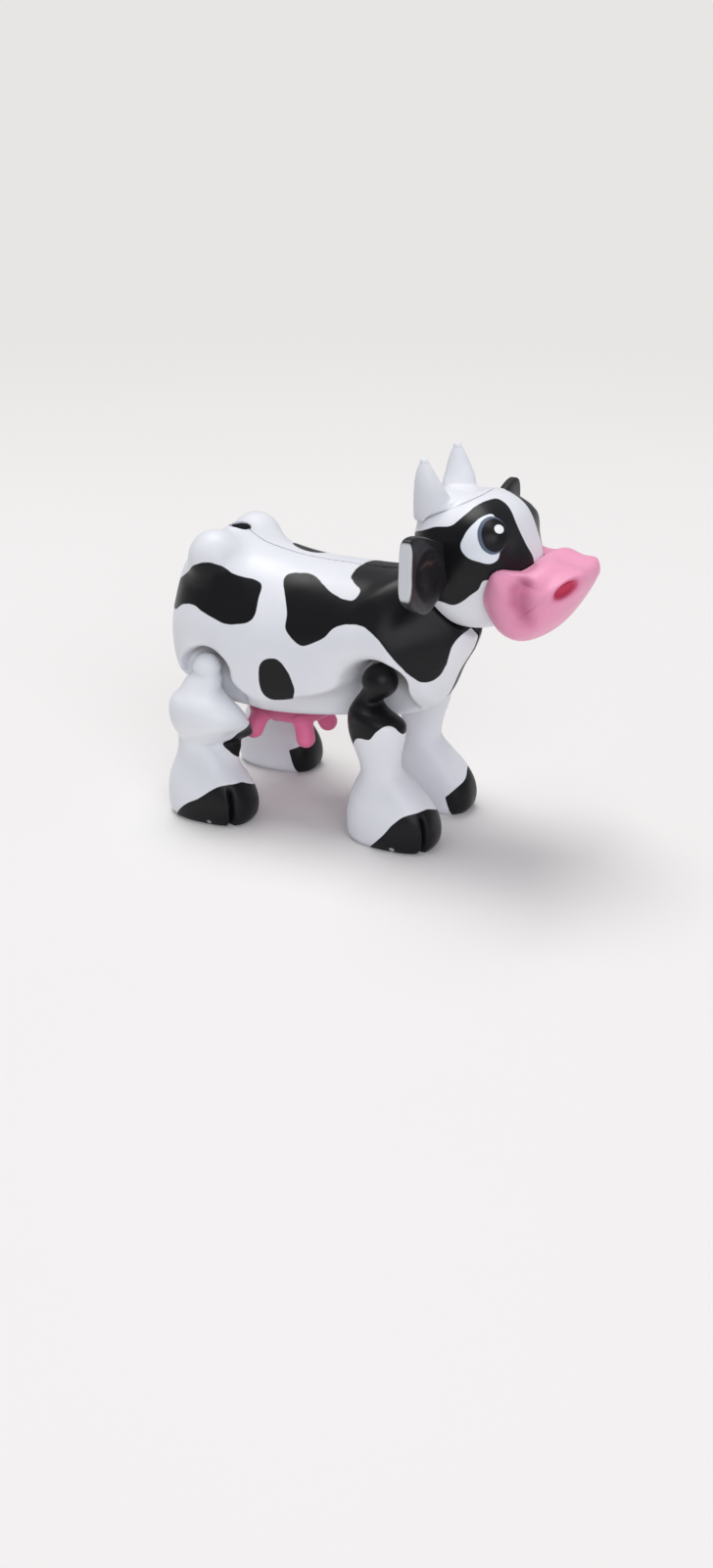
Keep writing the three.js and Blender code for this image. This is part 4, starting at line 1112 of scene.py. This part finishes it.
def ear():
    """A thick plate carried sideways, with a lobe that hangs below, a cupped front with an arc ridge and a
    flat outer end."""
    y = np.linspace(EAR_ROOT, EAR_TIP, 130)
    end = np.clip((y - (EAR_TIP - EAR_EDGE)) / EAR_EDGE, 0, 1)
    corner = np.clip((y - (EAR_TIP - EAR_CORNER)) / EAR_CORNER, 0, 1)
    drawn = 0.7 * (1 - np.sqrt(1 - corner**2))
    high, low = through(EAR_TOP)(y) - drawn, through(EAR_BOTTOM)(y) + drawn
    front_x = (EAR_THICKNESS / 2 - 0.22 * (1 - np.sqrt(1 - end**2)))[:, None]
    turn = full_turn(240)
    facing, reach = squircle(np.cos(turn), 5), squircle(np.sin(turn), 4)
    x = front_x * (EAR_SLIMNESS * facing + 1 - EAR_SLIMNESS)
    z = ((high + low) / 2)[:, None] + ((high - low) / 2)[:, None] * reach
    y = np.broadcast_to(y[:, None], x.shape)
    front = np.broadcast_to(smoothstep(0.55, 0.85, facing), x.shape)
    bowl = np.hypot((y - 10) / 3.5, (reach + 0.05) / 0.8)
    cup = 0.4 * (1 - smoothstep(0.3, 1.15, bowl))
    ridge = 0.14 * bell(bowl - 0.95, 0.16) * smoothstep(0, 0.4, reach)
    body = np.stack([x + front * (ridge - cup) + EAR_X, y - 0.05 * (z + 1) * end[:, None], z + EAR_Z], -1)
    centre = body[-1].mean(0)
    closing = centre + (body[-1] - centre) * np.linspace(0.95, 0.1, 8)[:, None, None]
    bare = np.minimum(y - (EAR_TIP - 0.16), 0.2)
    streak = np.hypot((y - 10.4) * 0.12, z + 0.1 - 0.04 * (y - 10) - 0.12 * np.sin(y * 2.6))
    scuff = np.where(front > 0.5, 0.2 - streak, -1)
    more = ((0, len(closing)), (0, 0))
    return np.concatenate([body, closing]), {
        "bare": np.pad(bare, more, constant_values=0.2),
        "scuff": np.pad(scuff, more, constant_values=-1),
    }


for word, side in SIDES.items():
    rows, paints = ear()
    skin = (rows * [1, side, 1] + NECK, paints)
    moulding(f"horizontal_ear_{word}", [skin], "head", [f"ear_{word}"], ear_finish)


# Udder

UDDER_X = -4.3
UDDER_HALF_LENGTH = 5.0
UDDER_HALF_WIDTH = 3.6
UDDER_DROP = 2.4
TEAT_RADIUS = 1.05
TEAT_LENGTH = 2.7
TEAT_BEHIND = 0.52
TEAT_AHEAD = 0.42


def bag():
    """An ellipsoid below the belly, flattened on top where it goes into the body."""
    lift = np.linspace(-np.pi / 2, np.pi / 2, 70)[1:-1, None]
    turn = full_turn(140)
    x = UDDER_X + UDDER_HALF_LENGTH * np.cos(lift) * np.cos(turn)
    y = UDDER_HALF_WIDTH * np.cos(lift) * np.sin(turn)
    z = BELLY_Z + UDDER_DROP * np.sin(lift) * np.ones_like(turn)
    return np.stack([x, y, np.minimum(z, BELLY_Z + 0.3)], -1)


def teat(along_side, side):
    """A round rod with a ball end, swept along its lean, flared where it leaves the bag."""
    ahead = UDDER_HALF_LENGTH * (-TEAT_BEHIND if along_side < 0 else TEAT_AHEAD)
    top = np.array([UDDER_X + ahead, side * 0.5 * UDDER_HALF_WIDTH, BELLY_Z - 0.7])
    lean = unit(np.array([0.35 * along_side, 0.36 * side, -1.0]))
    first = unit(np.cross(lean, [0, 1, 0]))
    second = np.cross(lean, first)
    way = np.linspace(0, TEAT_LENGTH, 50)
    radius = TEAT_RADIUS * (0.9 + 0.1 * way / TEAT_LENGTH) + 0.55 * bell(way - 0.4, 0.6)
    bend = np.linspace(0, np.pi / 2, 22)[1:]
    way = np.concatenate([way, TEAT_LENGTH + TEAT_RADIUS * np.sin(bend)])
    radius = np.concatenate([radius, TEAT_RADIUS * np.cos(bend) + 1e-4])
    turn = full_turn(64)[:, None]
    ring = np.cos(turn) * first + np.sin(turn) * second
    return top + way[:, None, None] * lean + radius[:, None, None] * ring


udder_parts = []
# Painted shade: each part of the udder darkens towards the belly above it.
for part in (bag(), *(teat(along, side) for along in (-1, 1) for side in (RIGHT, LEFT))):
    udder_parts.append((part, {"crevice": smoothstep(BELLY_Z - 1.9, BELLY_Z, part[..., 2])}))
moulding("bag_and_teats", udder_parts, "body", ["udder"], udder_finish)


# Hidden fittings keep their CAD shape

for name, node in frame["nodes"].items():
    if "pin" in name or "neck" in name:
        node.data.materials.clear()
        node.data.materials.append(nylon_finish)


# Floor, light and camera

PALE = (0.80, 0.79, 0.775)
PALE_TINT = (0.82, 0.81, 0.795)
FLOOR_HALF = 3.0
FLOOR_CLOUDS = 9
LIT_POINT = np.array([0, 0, 0.018])


def floor():
    """A pale sheet. Far from the toy it fades into the plain pale background."""
    finish = Finish("floor paper")
    cloud = finish.remap(finish.noise(FLOOR_CLOUDS, 3), 0.3, 0.7, 0, 1)
    paper = {"Base Color": finish.mix(cloud, PALE, PALE_TINT), "Roughness": 0.75}
    lit = finish.fill(finish.shader, paper)[0]
    glow = finish.fill(finish.node("Emission"), {"Color": PALE})[0]
    length = finish.fill(finish.node("VectorMath", operation="LENGTH"), {0: finish.place})["Value"]
    fade = finish.remap(length, 0.06, 0.5, 0, 1, True)
    seen_by_camera = finish.node("LightPath").outputs["Is Camera Ray"]
    blend = finish.node("MixShader")
    share = finish.sum(fade, seen_by_camera, "MULTIPLY")
    blended = finish.fill(blend, {0: share, 1: lit, 2: glow})[0]
    finish.fill(finish.tree.nodes["Material Output"], {"Surface": blended})
    mesh = bpy.data.meshes.new("floor")
    corners = [(x * FLOOR_HALF, y * FLOOR_HALF, 0) for x, y in ((-1, -1), (1, -1), (1, 1), (-1, 1))]
    mesh.from_pydata(corners, [], [(0, 1, 2, 3)])
    mesh.materials.append(finish.material)
    made = placed("floor", mesh)


def soft_box(name, place, size, watts, colour):
    lamp = bpy.data.lights.new(name, "AREA")
    lamp.shape = "DISK"
    lamp.size = size
    lamp.energy = watts
    lamp.color = colour
    made = placed(name, lamp)
    made.location = place
    way = LIT_POINT - place
    flat = np.hypot(way[0], way[1])
    made.rotation_euler = (np.pi / 2 + np.arctan2(way[2], flat), 0, np.arctan2(-way[0], way[1]))


floor()
soft_box("window", (-0.24, 0.20, 1.30), 0.90, 12.5, (1, 0.985, 0.97))
soft_box("fill", (0.85, -1.00, 0.75), 1.20, 8.0, (0.94, 0.955, 1))

world = bpy.data.worlds.new("room")
world.use_nodes = True
room = world.node_tree
background = room.nodes["Background"]
background.inputs["Color"].default_value = (0.86, 0.87, 0.92, 1)
background.inputs["Strength"].default_value = 0.4
backdrop = room.nodes.new("ShaderNodeBackground")
backdrop.inputs["Color"].default_value = (*PALE, 1)
rays = room.nodes.new("ShaderNodeLightPath")
either = room.nodes.new("ShaderNodeMixShader")
sources = (rays.outputs["Is Camera Ray"], background.outputs[0], backdrop.outputs[0])
for socket, source in zip(either.inputs, sources):
    room.links.new(source, socket)
room.links.new(either.outputs[0], room.nodes["World Output"].inputs["Surface"])
bpy.context.scene.world = world

# The camera looks 25 degrees down, from 25.6 degrees ahead of the cow's right side.
camera = placed("camera", bpy.data.cameras.new("camera"))
camera.data.lens = 31.5
camera.data.sensor_width = 36
camera.data.clip_start = 0.005
camera.location = ((62.396 + AHEAD) * MM, -123.046 * MM, 66.5 * MM)
camera.rotation_euler = (np.radians(90 - 25), 0, np.radians(25.6))
bpy.context.scene.camera = camera
bpy.context.scene.view_settings.view_transform = "Standard"

bpy.context.view_layer.update()
